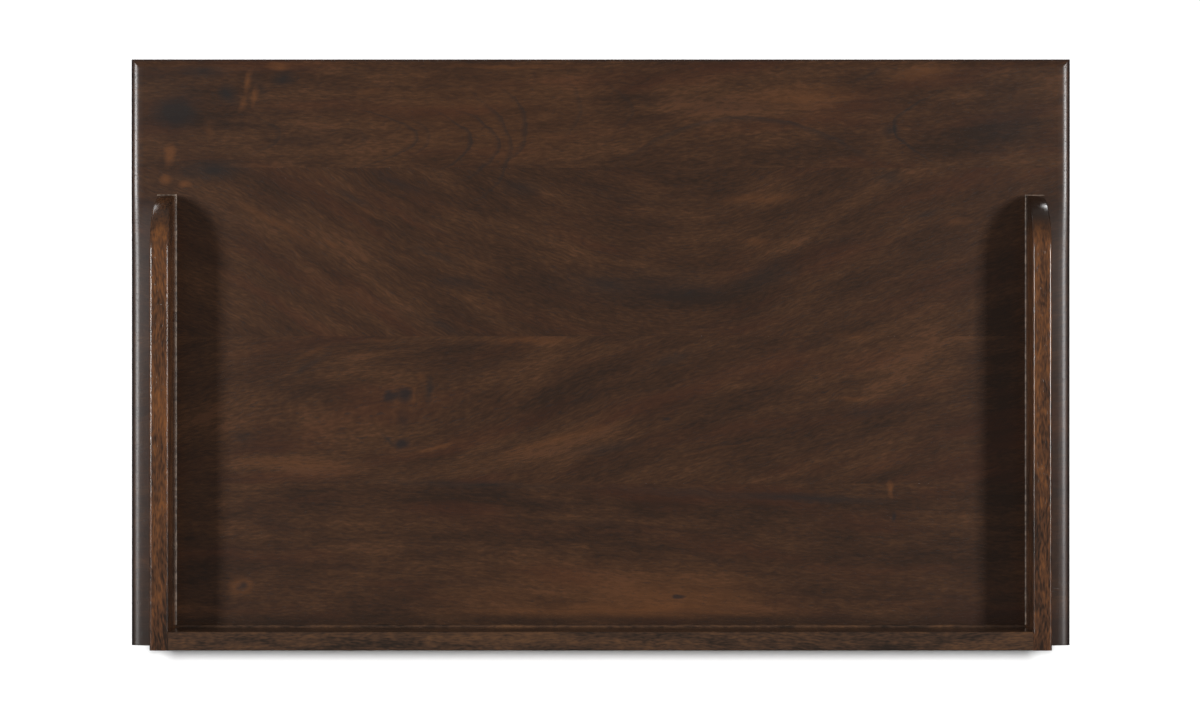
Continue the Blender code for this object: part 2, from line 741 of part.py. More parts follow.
def fit_turn_button(drawer, opening, back, back_front, finishes, meshes, carrier):
    """A button that turns on its screw and catches the rail in front when it stands upright."""
    height = opening + BUTTON_CATCH - BUTTON_LENGTH / 2
    pivot = guide(f"{drawer}_stop_pivot", (0, back_front - FIT, height), carrier)
    straight = (BUTTON_LENGTH - BUTTON_WIDTH) / 2
    outline = []
    for end in (1, -1):
        for step in range(BUTTON_END_STEPS + 1):
            angle = math.pi * step / BUTTON_END_STEPS
            radius = BUTTON_WIDTH / 2 * end
            outline.append((radius * math.cos(angle), end * straight + radius * math.sin(angle)))
    bm = prism(outline, Y, -BUTTON_THICKNESS, 0)
    button = place(f"{drawer}_turn_button", bm, finishes["drawer"], pivot)
    bore = SCREW_RADIUS + FIT
    cut(button, "bore", peg((0, 0), Y, -BUTTON_THICKNESS - PAST, PAST, bore))
    seat = (0, -BUTTON_THICKNESS - FIT, 0)
    backward = (-math.pi / 2, 0, 0)
    drive(f"{drawer}_turn_button_screw", meshes["button_screw"], meshes["slot"], pivot, seat, backward)
    hole = peg((0, height), Y, back_front - PAST, back_front + BUTTON_SCREW_BITE + FIT, bore)
    cut(back, "button_screw_hole", hole)


def make_drawer(drawer, level, opening, finishes, meshes, parent):
    carrier = guide(drawer, (0, CASE_FRONT, level), parent)
    front, back, back_front = make_drawer_box(drawer, opening, finishes, carrier)
    fit_knobs(drawer, opening, front, meshes, carrier)
    fit_turn_button(drawer, opening, back, back_front, finishes, meshes, carrier)


def main():
    clear_scene()
    steel = finish("screw_steel", (0.30, 0.28, 0.25), 0.40, 1.0)
    finishes = {
        "top": finish("stained_top", (0.055, 0.028, 0.017), 0.35),
        "case": finish("stained_case", (0.055, 0.028, 0.017), 0.38),
        "drawer": finish("drawer_wood", (0.34, 0.22, 0.12), 0.55),
        "glide": finish("glide_steel", (0.45, 0.44, 0.42), 0.35, 1.0),
    }
    meshes = {
        "slot": slot_mesh("screw_slot"),
        "knob": knob_mesh(finishes["case"]),
        "knob_screw": screw_mesh("knob_screw", DRAWER_FRONT_THICKNESS + KNOB_SCREW_BITE, steel),
        "button_screw": screw_mesh("button_screw", BUTTON_THICKNESS + BUTTON_SCREW_BITE, steel),
    }
    nightstand = guide("nightstand")
    top = make_top(finishes["top"], nightstand)
    make_gallery(top, finishes["top"], finishes["drawer"], nightstand)

    legs = {}
    for row, y_side in (("front", -1), ("back", 1)):
        for hand, x_side in SIDES.items():
            name = f"{row}_{hand}_leg"
            legs[name] = make_leg(name, x_side, y_side, finishes["case"], nightstand)
            make_glide(f"{row}_{hand}_glide", x_side, y_side, legs[name], finishes["glide"], nightstand)

    make_front_rails(legs, finishes["case"], nightstand)
    panels = make_side_panels(legs, finishes["case"], nightstand)
    make_back_panel(legs, finishes["case"], nightstand)
    strips = make_runners(panels, finishes["drawer"], nightstand)
    fix_top(top, strips, steel, meshes["slot"], nightstand)

    make_stop_block("upper_stop_block", DIVIDER_TOP, finishes["drawer"], nightstand)
    make_stop_block("lower_stop_block", BOTTOM_RAIL_TOP, finishes["drawer"], nightstand)
    make_drawer("upper_drawer", DIVIDER_TOP, UPPER_OPENING, finishes, meshes, nightstand)
    make_drawer("lower_drawer", BOTTOM_RAIL_TOP, LOWER_OPENING, finishes, meshes, nightstand)


main()
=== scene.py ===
import json
import math

import bmesh
import bpy
from mathutils import Matrix, Vector, noise

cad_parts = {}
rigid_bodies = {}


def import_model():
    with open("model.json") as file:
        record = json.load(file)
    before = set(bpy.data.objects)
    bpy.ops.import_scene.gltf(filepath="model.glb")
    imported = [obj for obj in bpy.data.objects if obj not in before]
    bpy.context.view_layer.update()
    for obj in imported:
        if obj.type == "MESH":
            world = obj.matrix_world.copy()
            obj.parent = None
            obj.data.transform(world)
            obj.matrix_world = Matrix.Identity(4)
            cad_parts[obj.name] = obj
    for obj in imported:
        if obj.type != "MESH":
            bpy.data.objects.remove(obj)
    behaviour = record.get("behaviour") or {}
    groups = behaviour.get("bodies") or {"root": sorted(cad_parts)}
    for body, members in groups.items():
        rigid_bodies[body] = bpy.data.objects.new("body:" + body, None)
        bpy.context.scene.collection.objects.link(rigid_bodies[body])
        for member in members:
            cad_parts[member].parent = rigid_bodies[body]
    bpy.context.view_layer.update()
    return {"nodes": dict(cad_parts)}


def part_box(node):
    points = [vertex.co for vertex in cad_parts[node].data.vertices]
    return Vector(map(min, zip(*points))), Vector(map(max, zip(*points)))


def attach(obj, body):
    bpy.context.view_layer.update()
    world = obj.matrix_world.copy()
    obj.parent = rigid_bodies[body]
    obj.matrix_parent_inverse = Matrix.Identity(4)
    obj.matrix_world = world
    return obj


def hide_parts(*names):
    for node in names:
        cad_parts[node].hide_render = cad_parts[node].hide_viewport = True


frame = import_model()
nodes = frame["nodes"]
print("frame loaded:", len(nodes), "nodes")

# the photograph looks straight down: its right is -X and its lower edge is the back, +Y
photo = {
    "middle": (601.0, 352.0),  # the pixel over the middle of the top board
    "pixel": 0.0007044,  # metres of the top board under one pixel
}


def onTop(px, py):
    right = (px - photo["middle"][0]) * photo["pixel"]
    down = (py - photo["middle"][1]) * photo["pixel"]
    return right, down


def seen(red, green, blue):
    # a colour as the photograph shows it, 0 to 255, made Blender's linear colour
    channels = []
    for level in (red, green, blue):
        part = level / 255
        channels.append(part / 12.92 if part <= 0.04045 else ((part + 0.055) / 1.055) ** 2.4)
    return (*channels, 1.0)


# node helpers: a value is either a socket to link or a number to set
def feed(tree, socket, value):
    if isinstance(value, bpy.types.NodeSocket):
        tree.links.new(value, socket)
    else:
        socket.default_value = value


def addNode(tree, kind, values, **settings):
    node = tree.nodes.new(kind)
    for name, value in settings.items():
        setattr(node, name, value)
    for name, value in values.items():
        feed(tree, node.inputs[name], value)
    return node


def calc(tree, operation, *values):
    return addNode(tree, "ShaderNodeMath", dict(enumerate(values)), operation=operation).outputs[0]


def vectorCalc(tree, operation, first, second):
    values = {0: first, 1: second}
    return addNode(tree, "ShaderNodeVectorMath", values, operation=operation).outputs[0]


def join(tree, x, y, z):
    return addNode(tree, "ShaderNodeCombineXYZ", {"X": x, "Y": y, "Z": z}).outputs[0]


def split(tree, vector):
    return addNode(tree, "ShaderNodeSeparateXYZ", {0: vector}).outputs


def blend(tree, factor, first, second):
    values = {0: factor, 6: first, 7: second}
    return addNode(tree, "ShaderNodeMix", values, data_type="RGBA").outputs[2]


def between(tree, factor, first, second):
    return addNode(tree, "ShaderNodeMix", {0: factor, 2: first, 3: second}).outputs[0]


def fade(tree, value, low, high):
    values = {"Value": value, "From Min": low, "From Max": high}
    return addNode(tree, "ShaderNodeMapRange", values, interpolation_type="SMOOTHSTEP").outputs[0]


def cloud(tree, vector, scale, detail=2.0, roughness=0.5):
    values = {"Vector": vector, "Scale": scale, "Detail": detail, "Roughness": roughness}
    return addNode(tree, "ShaderNodeTexNoise", values).outputs[0]


def ramp(tree, value, stops):
    node = addNode(tree, "ShaderNodeValToRGB", {"Fac": value})
    elements = node.color_ramp.elements
    while len(elements) < len(stops):
        elements.new(1.0)
    for element, (place, colour) in zip(elements, stops):
        element.position = place
        element.color = colour
    return node.outputs[0]


def curve(tree, value, points):
    # points are (in, out), both from 0 to 1
    node = addNode(tree, "ShaderNodeFloatCurve", {"Value": value})
    line = node.mapping.curves[0]
    while len(line.points) < len(points):
        line.points.new(0.5, 0.5)
    for knot, place in zip(line.points, points):
        knot.location = place
    node.mapping.update()
    return node.outputs[0]


def newGroup(name, inputs, outputs):
    tree = bpy.data.node_groups.new(name, "ShaderNodeTree")
    for label, kind, start in inputs:
        socket = tree.interface.new_socket(label, in_out="INPUT", socket_type=kind)
        socket.default_value = start
    for label in outputs:
        tree.interface.new_socket(label, in_out="OUTPUT", socket_type="NodeSocketFloat")
    given = tree.nodes.new("NodeGroupInput").outputs
    result = tree.nodes.new("NodeGroupOutput").inputs
    return tree, given, result


def useGroup(tree, group, **values):
    given = {name.capitalize(): value for name, value in values.items()}
    return addNode(tree, "ShaderNodeGroup", given, node_tree=group).outputs


def wander(tree, vector, scale, detail, reach):
    # a push to either side that changes slowly from place to place
    values = {"Vector": vector, "Scale": scale, "Detail": detail}
    push = addNode(tree, "ShaderNodeTexNoise", values).outputs["Color"]
    push = vectorCalc(tree, "SUBTRACT", push, (0.5, 0.5, 0.5))
    return vectorCalc(tree, "MULTIPLY", push, reach)


def addLayers(tree, value, layers):
    # each layer moves the value up or down from the layer's own middle
    for layer, strength in layers:
        change = calc(tree, "MULTIPLY", calc(tree, "SUBTRACT", layer, 0.5), strength)
        value = calc(tree, "ADD", value, change)
    return value


# grain: X runs along the fibres, Y and Z across them, in metres; details are noise detail and roughness
grain = {
    "streakAlong": 20.0,
    "streakAcross": 120.0,
    "streakDetail": (4.0, 0.55),
    "fibreAlong": 190.0,
    "fibreAcross": 850.0,
    "fibreDetail": (1.0, 0.5),
    "poreAlong": 200.0,
    "poreAcross": 1500.0,
    "poreDetail": (1.0, 0.5),
    "poreFade": (0.60, 0.72),
    "lineAlong": 4.0,
    "lineAcross": 75.0,
    "lineDetail": (1.0, 0.4),
    "lineWidth": 0.03,
}


def makeGrainGroup():
    tree, given, result = newGroup(
        "stainedGrain",
        [("Vector", "NodeSocketVector", (0, 0, 0)), ("Seed", "NodeSocketFloat", 0.0)],
        ["Streak", "Fibre", "Pores", "Lines"],
    )
    along, across, depth = split(tree, given["Vector"])

    def layer(name):
        high = grain[name + "Across"]
        far = calc(tree, "ADD", calc(tree, "MULTIPLY", depth, high), given["Seed"])
        place = join(
            tree,
            calc(tree, "MULTIPLY", along, grain[name + "Along"]),
            calc(tree, "MULTIPLY", across, high),
            far,
        )
        return cloud(tree, place, 1.0, *grain[name + "Detail"])

    feed(tree, result["Streak"], layer("streak"))
    feed(tree, result["Fibre"], layer("fibre"))
    feed(tree, result["Pores"], fade(tree, layer("pore"), *grain["poreFade"]))
    off = calc(tree, "ABSOLUTE", calc(tree, "SUBTRACT", layer("line"), 0.5))
    feed(tree, result["Lines"], calc(tree, "SUBTRACT", 1.0, fade(tree, off, 0.0, grain["lineWidth"])))
    return tree


grainGroup = makeGrainGroup()


def newMaterial(name):
    material = bpy.data.materials.new(name)
    material.use_nodes = True
    tree = material.node_tree
    shader = tree.nodes["Principled BSDF"]
    place = tree.nodes.new("ShaderNodeTexCoord").outputs["Object"]
    return material, tree, shader, place


def setShader(tree, shader, colour, roughness, height, depth):
    feed(tree, shader.inputs["Base Color"], colour)
    feed(tree, shader.inputs["Roughness"], roughness)
    bump = addNode(tree, "ShaderNodeBump", {"Height": height, "Strength": 1.0, "Distance": depth})
    feed(tree, shader.inputs["Normal"], bump.outputs["Normal"])


# the top: four glued boards, front to back, each with its own run of grain
topWood = {
    "seams": (168, 336, 483),
    # lines that the fibres of each board follow: pixels along the photograph, pixels down
    "span": (120, 1080),
    "lift": 240.0,  # more pixels than any of these lines rises or falls
    "flows": (
        ((120, 0), (560, 0), (640, -6), (710, -16), (860, -22), (1080, -40)),
        (
            (120, -225), (230, -190), (289, -158), (360, -114), (432, -74), (500, -44), (560, -22),
            (620, -6), (690, 0), (740, -8), (800, -30), (900, -66), (1000, -100), (1080, -125),
        ),
        (
            (120, 40), (240, 14), (390, -4), (440, -14), (560, -46), (680, -84), (800, -116),
            (940, -158), (1080, -180),
        ),
        ((120, 0), (420, 0), (600, 12), (760, 22), (1080, 26)),
    ),
    "eye": (390, 412),  # the third board's grain opens round this spot
    "eyeSize": (230, 70),
    "eyeSpread": 0.75,
    "eyeLine": -4,  # the third board's flow where it passes the eye
    "drift": (0.012, 0.0048, 0.0),  # how far the grain wanders along, across and in depth
    "driftScale": 55.0,
    "driftDetail": 3.0,
    "depthShare": 0.4,
    "boardSeed": 7.3,
    # tones from the darkest to the warmest, and where each lies on the scale of tones
    "dark": seen(46, 31, 22),
    "middle": seen(62, 40.4, 27.2),
    "light": seen(73, 48.4, 31.3),
    "warm": seen(86, 56, 37),
    "toneStops": (0.15, 0.5, 0.72, 0.9),
    "boardTone": (0.08, 0.0, 0.02, 0.0),
    "toneStrength": 1.75,
    "layers": (0.7, 0.8, 1.1),  # shares of the streaks, the fibres and the mottle
    "mottle": (16.0, 45.0, 16.0),
    "mottleDetail": (4.0, 0.6),
    "red": seen(74, 41, 27),
    "redScale": (9.0, 50.0, 9.0),
    "redDetail": 2.0,
    "redFade": (0.5, 0.75),
    "redShare": 0.35,
    # marks are broken up by the streaks that run through them
    "glow": seen(101, 63, 36),
    "glowBroken": (1.4, 0.2),
    "glowShare": 0.6,
    "glowMost": 0.8,
    "shade": seen(39, 34, 32),
    "shadeBroken": 1.5,
    "shadeShare": 0.75,
    "shadeMost": 0.9,
    "knot": seen(38, 33, 33),
    "knotRagged": (0.5, 0.8, 0.0),
    "knotMost": 0.8,
    "pore": seen(30, 25, 25),
    "poreShare": 0.4,
    "lineShare": 0.2,
    # painted shade along the bead at the back and on the front arris, and stain on the end grain
    "paintedBackShade": (609, 621),
    "paintedBackShadeTone": seen(37, 27, 21),
    "paintedBackShadeShare": 0.55,
    "paintedArrisShade": (0.0022, 0.0008),
    "paintedArrisShadeDrop": (0.004, 0.001),
    "paintedArrisShadeShare": 0.6,
    "endFade": (0.42, 0.65),
    "endShare": 0.85,
    # strips outside the rails, roughest near the front; pairs are the photograph's left and right
    "roughness": 0.27,
    "poreRough": 0.06,
    "stripRough": 0.19,
    "stripShare": (1.1, 0.35),
    "stripLoss": (0.6, 0.85),
    "stripFade": (300, 400),
    "stripStart": (-0.004, 0.02),  # from the front of the rails
    "roundRough": (0.04, 0.1),  # on the round-over, before and behind the noses
    "roundFade": 1.5,
    "endSmooth": 0.16,
    "fibreHeight": 0.3,
    "bump": 0.000025,
}

# marks of the grain on the top, and a few of painted shade and painted reflection: pixel, half length, half
# height, slope, strength
topTones = (
    (360, 135, 110, 40, 0, 0.10), (750, 100, 110, 36, -0.05, 0.20), (970, 130, 90, 34, -0.1, -0.20),
    (205, 118, 56, 50, 0, -0.16), (290, 78, 60, 20, 0, -0.10), (275, 215, 80, 24, 0.6, 0.08),
    (500, 286, 100, 18, 0.15, -0.18), (690, 298, 120, 24, 0, -0.20), (775, 266, 70, 18, -0.5, -0.14),
    (720, 240, 100, 26, 0, 0.12), (620, 184, 160, 18, 0.1, -0.06), (900, 366, 120, 40, -0.25, 0.20),
    (540, 445, 140, 24, -0.25, 0.18), (600, 392, 150, 20, -0.28, -0.12),
    (820, 425, 160, 18, -0.25, -0.12), (290, 466, 90, 16, 0, 0.16), (345, 397, 60, 24, 0, -0.14),
    (300, 372, 70, 12, -0.4, -0.10), (600, 500, 440, 18, 0, -0.16), (620, 594, 190, 30, 0, 0.26),
    # the mark at pixel 1003, 420 is painted shadow, deepening the cast shadow of the rail at -X
    (880, 560, 130, 44, 0, -0.08), (1003, 420, 36, 260, 0, -0.25), (330, 255, 200, 90, 0.2, 0.09),
    (310, 412, 160, 90, 0, 0.14),
)
topShades = (
    (175, 113, 27, 18, 0, 1.5), (186, 108, 22, 28, 0.4, 0.5), (214, 171, 42, 13, -0.05, 1.25),
    (205, 71, 30, 10, 0, 1.0), (229, 94, 10, 15, -0.6, 1.2), (284, 79, 18, 11, -0.2, 1.1),
    (262, 88, 6, 22, -0.4, 0.5), (868, 75, 28, 4, -0.4, 0.6), (889, 131, 14, 8, 0, 1.0),
    (353, 197, 28, 5, 0.54, 0.7), (400, 183, 40, 6, 0.46, 0.7), (437, 256, 34, 5, 0.38, 0.6),
    (458, 282, 30, 9, 0.1, 0.6), (445, 326, 30, 5, 0.45, 0.7), (640, 286, 130, 24, 0.03, 0.45),
    (690, 293, 50, 13, 0, 0.35), (606, 284, 26, 10, 0.15, 0.6), (522, 188, 30, 10, 0.1, 0.6),
    (890, 179, 18, 10, 0, 0.7), (926, 214, 24, 6, -0.2, 0.7), (765, 276, 40, 17, -0.4, 0.6),
    (308, 366, 34, 4, -0.6, 0.7), (431, 390, 6, 18, 0.1, 0.9), (404, 420, 7, 16, 0, 0.5),
    (388, 440, 12, 4, 1.2, 1.0), (672, 358, 34, 8, -0.3, 0.7), (245, 436, 14, 8, 0, 0.5),
    (602, 448, 50, 8, -0.15, 0.6), (864, 412, 32, 7, -0.1, 0.6), (480, 484, 130, 5, 0.03, 0.7),
    (690, 492, 120, 6, 0.06, 0.7), (820, 498, 90, 6, 0.05, 1.05), (1000, 130, 50, 26, -0.1, 0.4),
    # the last two marks, at the front corners, are a painted reflection: a cool grey veil
    (1015, 110, 60, 70, 0, 0.22), (158, 96, 50, 60, 0, 0.22),
)
topGlows = (
    (171, 155, 9, 14, 0, 2.1), (211, 128, 7, 12, 0, 0.7), (251, 82, 5, 15, 0.4, 1.6),
    (257, 96, 4, 15, 0.3, 1.5), (243, 104, 5, 11, 0.4, 1.2), (279, 67, 16, 6, 0, 1.6),
    (169, 179, 9, 7, 0, 2.2), (186, 184, 7, 5, 0, 2.2), (520, 67, 100, 3, 0, 0.9),
    (800, 98, 70, 16, -0.05, 0.9), (925, 74, 44, 9, -0.1, 1.2), (370, 92, 20, 5, -0.2, 0.5),
    (278, 223, 56, 6, 0.6, 0.8), (332, 243, 14, 3, 0.45, 1.0), (368, 213, 20, 4, 0.4, 0.8),
    (758, 199, 50, 7, -0.05, 0.8), (756, 242, 20, 5, 0, 0.8), (954, 222, 20, 6, -0.2, 0.7),
    (852, 335, 34, 6, 0, 0.6), (560, 438, 70, 6, -0.27, 0.8), (726, 446, 52, 2, -0.2, 0.8),
    (530, 340, 62, 5, 0, 0.8), (375, 340, 26, 3, 0, 0.8), (318, 350, 26, 3, -0.5, 0.6),
    (852, 398, 18, 3, 0, 0.9), (290, 462, 66, 7, 0.03, 0.7), (440, 446, 28, 3, -0.3, 0.9),
    (416, 394, 3, 12, 0, 1.2), (407, 386, 10, 2, 0.2, 0.9), (422, 377, 7, 6, 0, 0.9),
    (241, 585, 14, 12, 0, 1.5), (890, 489, 5, 11, 0, 1.7), (680, 596, 110, 26, 0, 0.75),
    (620, 610, 210, 10, 0, 0.9), (480, 116, 150, 58, 0, 0.35), (600, 588, 190, 34, 0, 0.45),
)
topKnots = (
    (388, 395.6, 10, 9, 0, 1.3), (405, 395, 14, 9, 0, 1.15), (403, 443.4, 12, 8, 0, 1.3),
    (241, 585, 6, 6, 0, 1.0), (680, 595, 10, 3, 0, 1.6), (892, 515, 4, 6, 0, 1.0),
    (666, 420, 5, 3, 0, 0.8),
)
# growth rings that show as nested arcs: tip pixel, opening of the arms, turn in degrees, reach, strength
topArcs = (
    (278, 135, 0.06, 0, 26, 0.47), (368, 140, 0.1, 0, 12, 0.23), (416, 138, 0.064, 0, 42, 0.58),
    (431, 138, 0.06, 0, 24, 0.39), (474, 142, 0.042, 0, 36, 0.7), (499, 146, 0.03, 0, 46, 0.62),
    (512, 148, 0.013, 0, 70, 0.55), (529, 128, 0.018, 0, 48, 0.62), (582, 108, 0.02, 0, 36, 0.39),
    (632, 112, 0.03, 0, 40, 0.31), (746, 118, 0.0027, -90, 165, 0.65), (893, 128, 0.035, 180, 50, 0.7),
)

# one growth ring cut by the saw, in pixels: sharp on its outer side, fading inwards
arcShape = {
    "inside": 6.0,
    "outside": 2.5,
    "armsFull": 0.4,
}


def makeArcGroup():
    tree, given, result = newGroup(
        "growthArc",
        [
            ("Vector", "NodeSocketVector", (0, 0, 0)),
            ("Open", "NodeSocketFloat", 0.05),
            ("Reach", "NodeSocketFloat", 50.0),
        ],
        ["Mask"],
    )
    along, across = split(tree, given["Vector"])[:2]
    line = calc(tree, "MULTIPLY_ADD", calc(tree, "MULTIPLY", across, across), given["Open"], along)
    inside = fade(tree, line, -arcShape["inside"], 0.0)
    outside = calc(tree, "SUBTRACT", 1.0, fade(tree, line, 0.0, arcShape["outside"]))
    share = calc(tree, "DIVIDE", calc(tree, "ABSOLUTE", across), given["Reach"])
    arms = calc(tree, "SUBTRACT", 1.0, fade(tree, share, arcShape["armsFull"], 1.0))
    feed(tree, result["Mask"], calc(tree, "MULTIPLY", calc(tree, "MULTIPLY", inside, outside), arms))
    return tree


arcGroup = makeArcGroup()


def markAt(tree, vector, px, py, wide, high, slope):
    # 1 in the middle of the mark, 0 at its rim
    values = {
        "Vector": vector,
        "Location": (*onTop(px, py), 0.0),
        "Rotation": (0.0, 0.0, math.atan(slope)),
        "Scale": (wide * photo["pixel"], high * photo["pixel"], 1.0),
    }
    local = addNode(tree, "ShaderNodeMapping", values, vector_type="TEXTURE").outputs[0]
    spot = addNode(tree, "ShaderNodeTexGradient", {"Vector": local}, gradient_type="SPHERICAL")
    return spot.outputs["Fac"]


def gatherMarks(tree, vector, marks):
    total = 0.0
    for px, py, wide, high, slope, strength in marks:
        mark = markAt(tree, vector, px, py, wide, high, slope)
        total = calc(tree, "MULTIPLY_ADD", mark, strength, total)
    return total


def gatherArcs(tree, vector, arcs):
    total = 0.0
    for px, py, opening, turn, reach, strength in arcs:
        values = {
            "Vector": vector,
            "Location": (*onTop(px, py), 0.0),
            "Rotation": (0.0, 0.0, math.radians(turn)),
            "Scale": (photo["pixel"], photo["pixel"], 1.0),
        }
        local = addNode(tree, "ShaderNodeMapping", values, vector_type="TEXTURE").outputs[0]
        mask = useGroup(tree, arcGroup, vector=local, open=opening, reach=reach)["Mask"]
        total = calc(tree, "MULTIPLY_ADD", mask, strength, total)
    return total


def boardFlow(tree, ratio, points):
    start, end = topWood["span"]
    lift = topWood["lift"]
    shape = [((px - start) / (end - start), 0.5 + rise / (2 * lift)) for px, rise in points]
    rise = calc(tree, "SUBTRACT", curve(tree, ratio, shape), 0.5)
    return calc(tree, "MULTIPLY", rise, 2 * lift * photo["pixel"])


def topFibres(tree, straight, flat, wandering):
    # the fibres' own coordinates, the number of the board and the board's tone
    spec = topWood
    seams = [calc(tree, "GREATER_THAN", straight["Y"], onTop(0, row)[1]) for row in spec["seams"]]
    board = calc(tree, "ADD", calc(tree, "ADD", seams[0], seams[1]), seams[2])
    right, down = split(tree, wandering)[:2]
    start, end = (onTop(px, 0)[0] for px in spec["span"])
    ratio = calc(tree, "DIVIDE", calc(tree, "SUBTRACT", right, start), end - start)
    flows = [boardFlow(tree, ratio, points) for points in spec["flows"]]
    # the fibres of the third board part round its eye
    opened = markAt(tree, flat, *spec["eye"], *spec["eyeSize"], 0.0)
    opened = calc(tree, "MULTIPLY", opened, spec["eyeSpread"])
    eyeDown = onTop(0, spec["eye"][1] - spec["eyeLine"])[1]
    beside = calc(tree, "SUBTRACT", calc(tree, "SUBTRACT", down, flows[2]), eyeDown)
    flows[2] = calc(tree, "MULTIPLY_ADD", beside, opened, flows[2])
    flow = flows[0]
    tone = spec["boardTone"][0]
    for seam, following, step in zip(seams, flows[1:], spec["boardTone"][1:]):
        flow = between(tree, seam, flow, following)
        tone = between(tree, seam, tone, step)
    across = calc(tree, "SUBTRACT", down, flow)
    depth = calc(tree, "MULTIPLY", straight["Z"], spec["depthShare"])
    return join(tree, straight["X"], across, depth), board, tone


def topColour(tree, wandering, drift, fibres, lines, tone):
    spec = topWood
    mottle = cloud(tree, vectorCalc(tree, "MULTIPLY", fibres, spec["mottle"]), 1.0, *spec["mottleDetail"])
    value = calc(tree, "ADD", 0.5, tone)
    value = calc(tree, "MULTIPLY_ADD", gatherMarks(tree, wandering, topTones), spec["toneStrength"], value)
    layers = (lines["Streak"], lines["Fibre"], mottle)
    value = addLayers(tree, value, zip(layers, spec["layers"]))
    tones = [spec[name] for name in ("dark", "middle", "light", "warm")]
    colour = ramp(tree, value, list(zip(spec["toneStops"], tones)))

    red = cloud(tree, vectorCalc(tree, "MULTIPLY", fibres, spec["redScale"]), 1.0, spec["redDetail"])
    red = calc(tree, "MULTIPLY", fade(tree, red, *spec["redFade"]), spec["redShare"])
    colour = blend(tree, red, colour, spec["red"])
    broken = calc(tree, "MULTIPLY_ADD", lines["Streak"], *spec["glowBroken"])
    glow = calc(tree, "MULTIPLY", gatherMarks(tree, wandering, topGlows), broken)
    glow = calc(tree, "MINIMUM", calc(tree, "MULTIPLY", glow, spec["glowShare"]), spec["glowMost"])
    colour = blend(tree, glow, colour, spec["glow"])
    shade = calc(tree, "ADD", gatherMarks(tree, wandering, topShades), gatherArcs(tree, wandering, topArcs))
    shade = calc(tree, "MULTIPLY", shade, calc(tree, "SUBTRACT", spec["shadeBroken"], lines["Streak"]))
    shade = calc(tree, "MINIMUM", calc(tree, "MULTIPLY", shade, spec["shadeShare"]), spec["shadeMost"])
    colour = blend(tree, shade, colour, spec["shade"])
    ragged = vectorCalc(tree, "ADD", wandering, vectorCalc(tree, "MULTIPLY", drift, spec["knotRagged"]))
    knots = calc(tree, "MINIMUM", gatherMarks(tree, ragged, topKnots), spec["knotMost"])
    colour = blend(tree, knots, colour, spec["knot"])
    pores = calc(tree, "MULTIPLY", lines["Pores"], spec["poreShare"])
    pores = calc(tree, "MAXIMUM", pores, calc(tree, "MULTIPLY", lines["Lines"], spec["lineShare"]))
    return blend(tree, pores, colour, spec["pore"])


def topStainAndShade(tree, colour, straight, ends):
    spec = topWood
    low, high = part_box("top_panel")
    # painted shade: a darker band on the top in front of the back bead
    paintedBackShade = fade(tree, straight["Y"], *(onTop(0, row)[1] for row in spec["paintedBackShade"]))
    paintedBackShade = calc(tree, "MULTIPLY", paintedBackShade, spec["paintedBackShadeShare"])
    colour = blend(tree, paintedBackShade, colour, spec["paintedBackShadeTone"])
    # painted shade: the front arris of the top is darkened
    paintedArrisShade = fade(tree, straight["Y"], *(low.y + reach for reach in spec["paintedArrisShade"]))
    upper = fade(tree, straight["Z"], *(high.z - drop for drop in spec["paintedArrisShadeDrop"]))
    paintedArrisShade = calc(tree, "MULTIPLY", calc(tree, "MULTIPLY", paintedArrisShade, upper), spec["paintedArrisShadeShare"])
    colour = blend(tree, paintedArrisShade, colour, spec["pore"])
    return blend(tree, calc(tree, "MULTIPLY", ends, spec["endShare"]), colour, spec["pore"])


def topRoughness(tree, straight, lines, ends):
    spec = topWood
    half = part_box("top_panel")[1].x
    edge = topShape["round"]
    out = calc(tree, "ABSOLUTE", straight["X"])
    rounded = fade(tree, out, half - edge * spec["roundFade"], half - edge)
    strip = calc(tree, "GREATER_THAN", out, galleryShape["outer"])
    strip = calc(tree, "MULTIPLY", strip, calc(tree, "SUBTRACT", 1.0, rounded))
    behind = fade(tree, straight["Y"], *(galleryShape["front"] + reach for reach in spec["stripStart"]))
    backward = fade(tree, straight["Y"], *(onTop(0, row)[1] for row in spec["stripFade"]))
    right = calc(tree, "GREATER_THAN", straight["X"], 0.0)
    loss = calc(tree, "MULTIPLY", between(tree, right, *spec["stripLoss"]), backward)
    strip = calc(tree, "MULTIPLY", strip, between(tree, right, *spec["stripShare"]))
    strip = calc(tree, "MULTIPLY", strip, calc(tree, "MULTIPLY", behind, spec["stripRough"]))
    strip = calc(tree, "MULTIPLY", strip, calc(tree, "SUBTRACT", 1.0, loss))
    more = calc(tree, "MULTIPLY_ADD", rounded, between(tree, behind, *spec["roundRough"]), strip)
    more = calc(tree, "MULTIPLY_ADD", ends, -spec["endSmooth"], more)
    rough = calc(tree, "MULTIPLY_ADD", lines["Pores"], spec["poreRough"], spec["roughness"])
    return calc(tree, "ADD", rough, more)


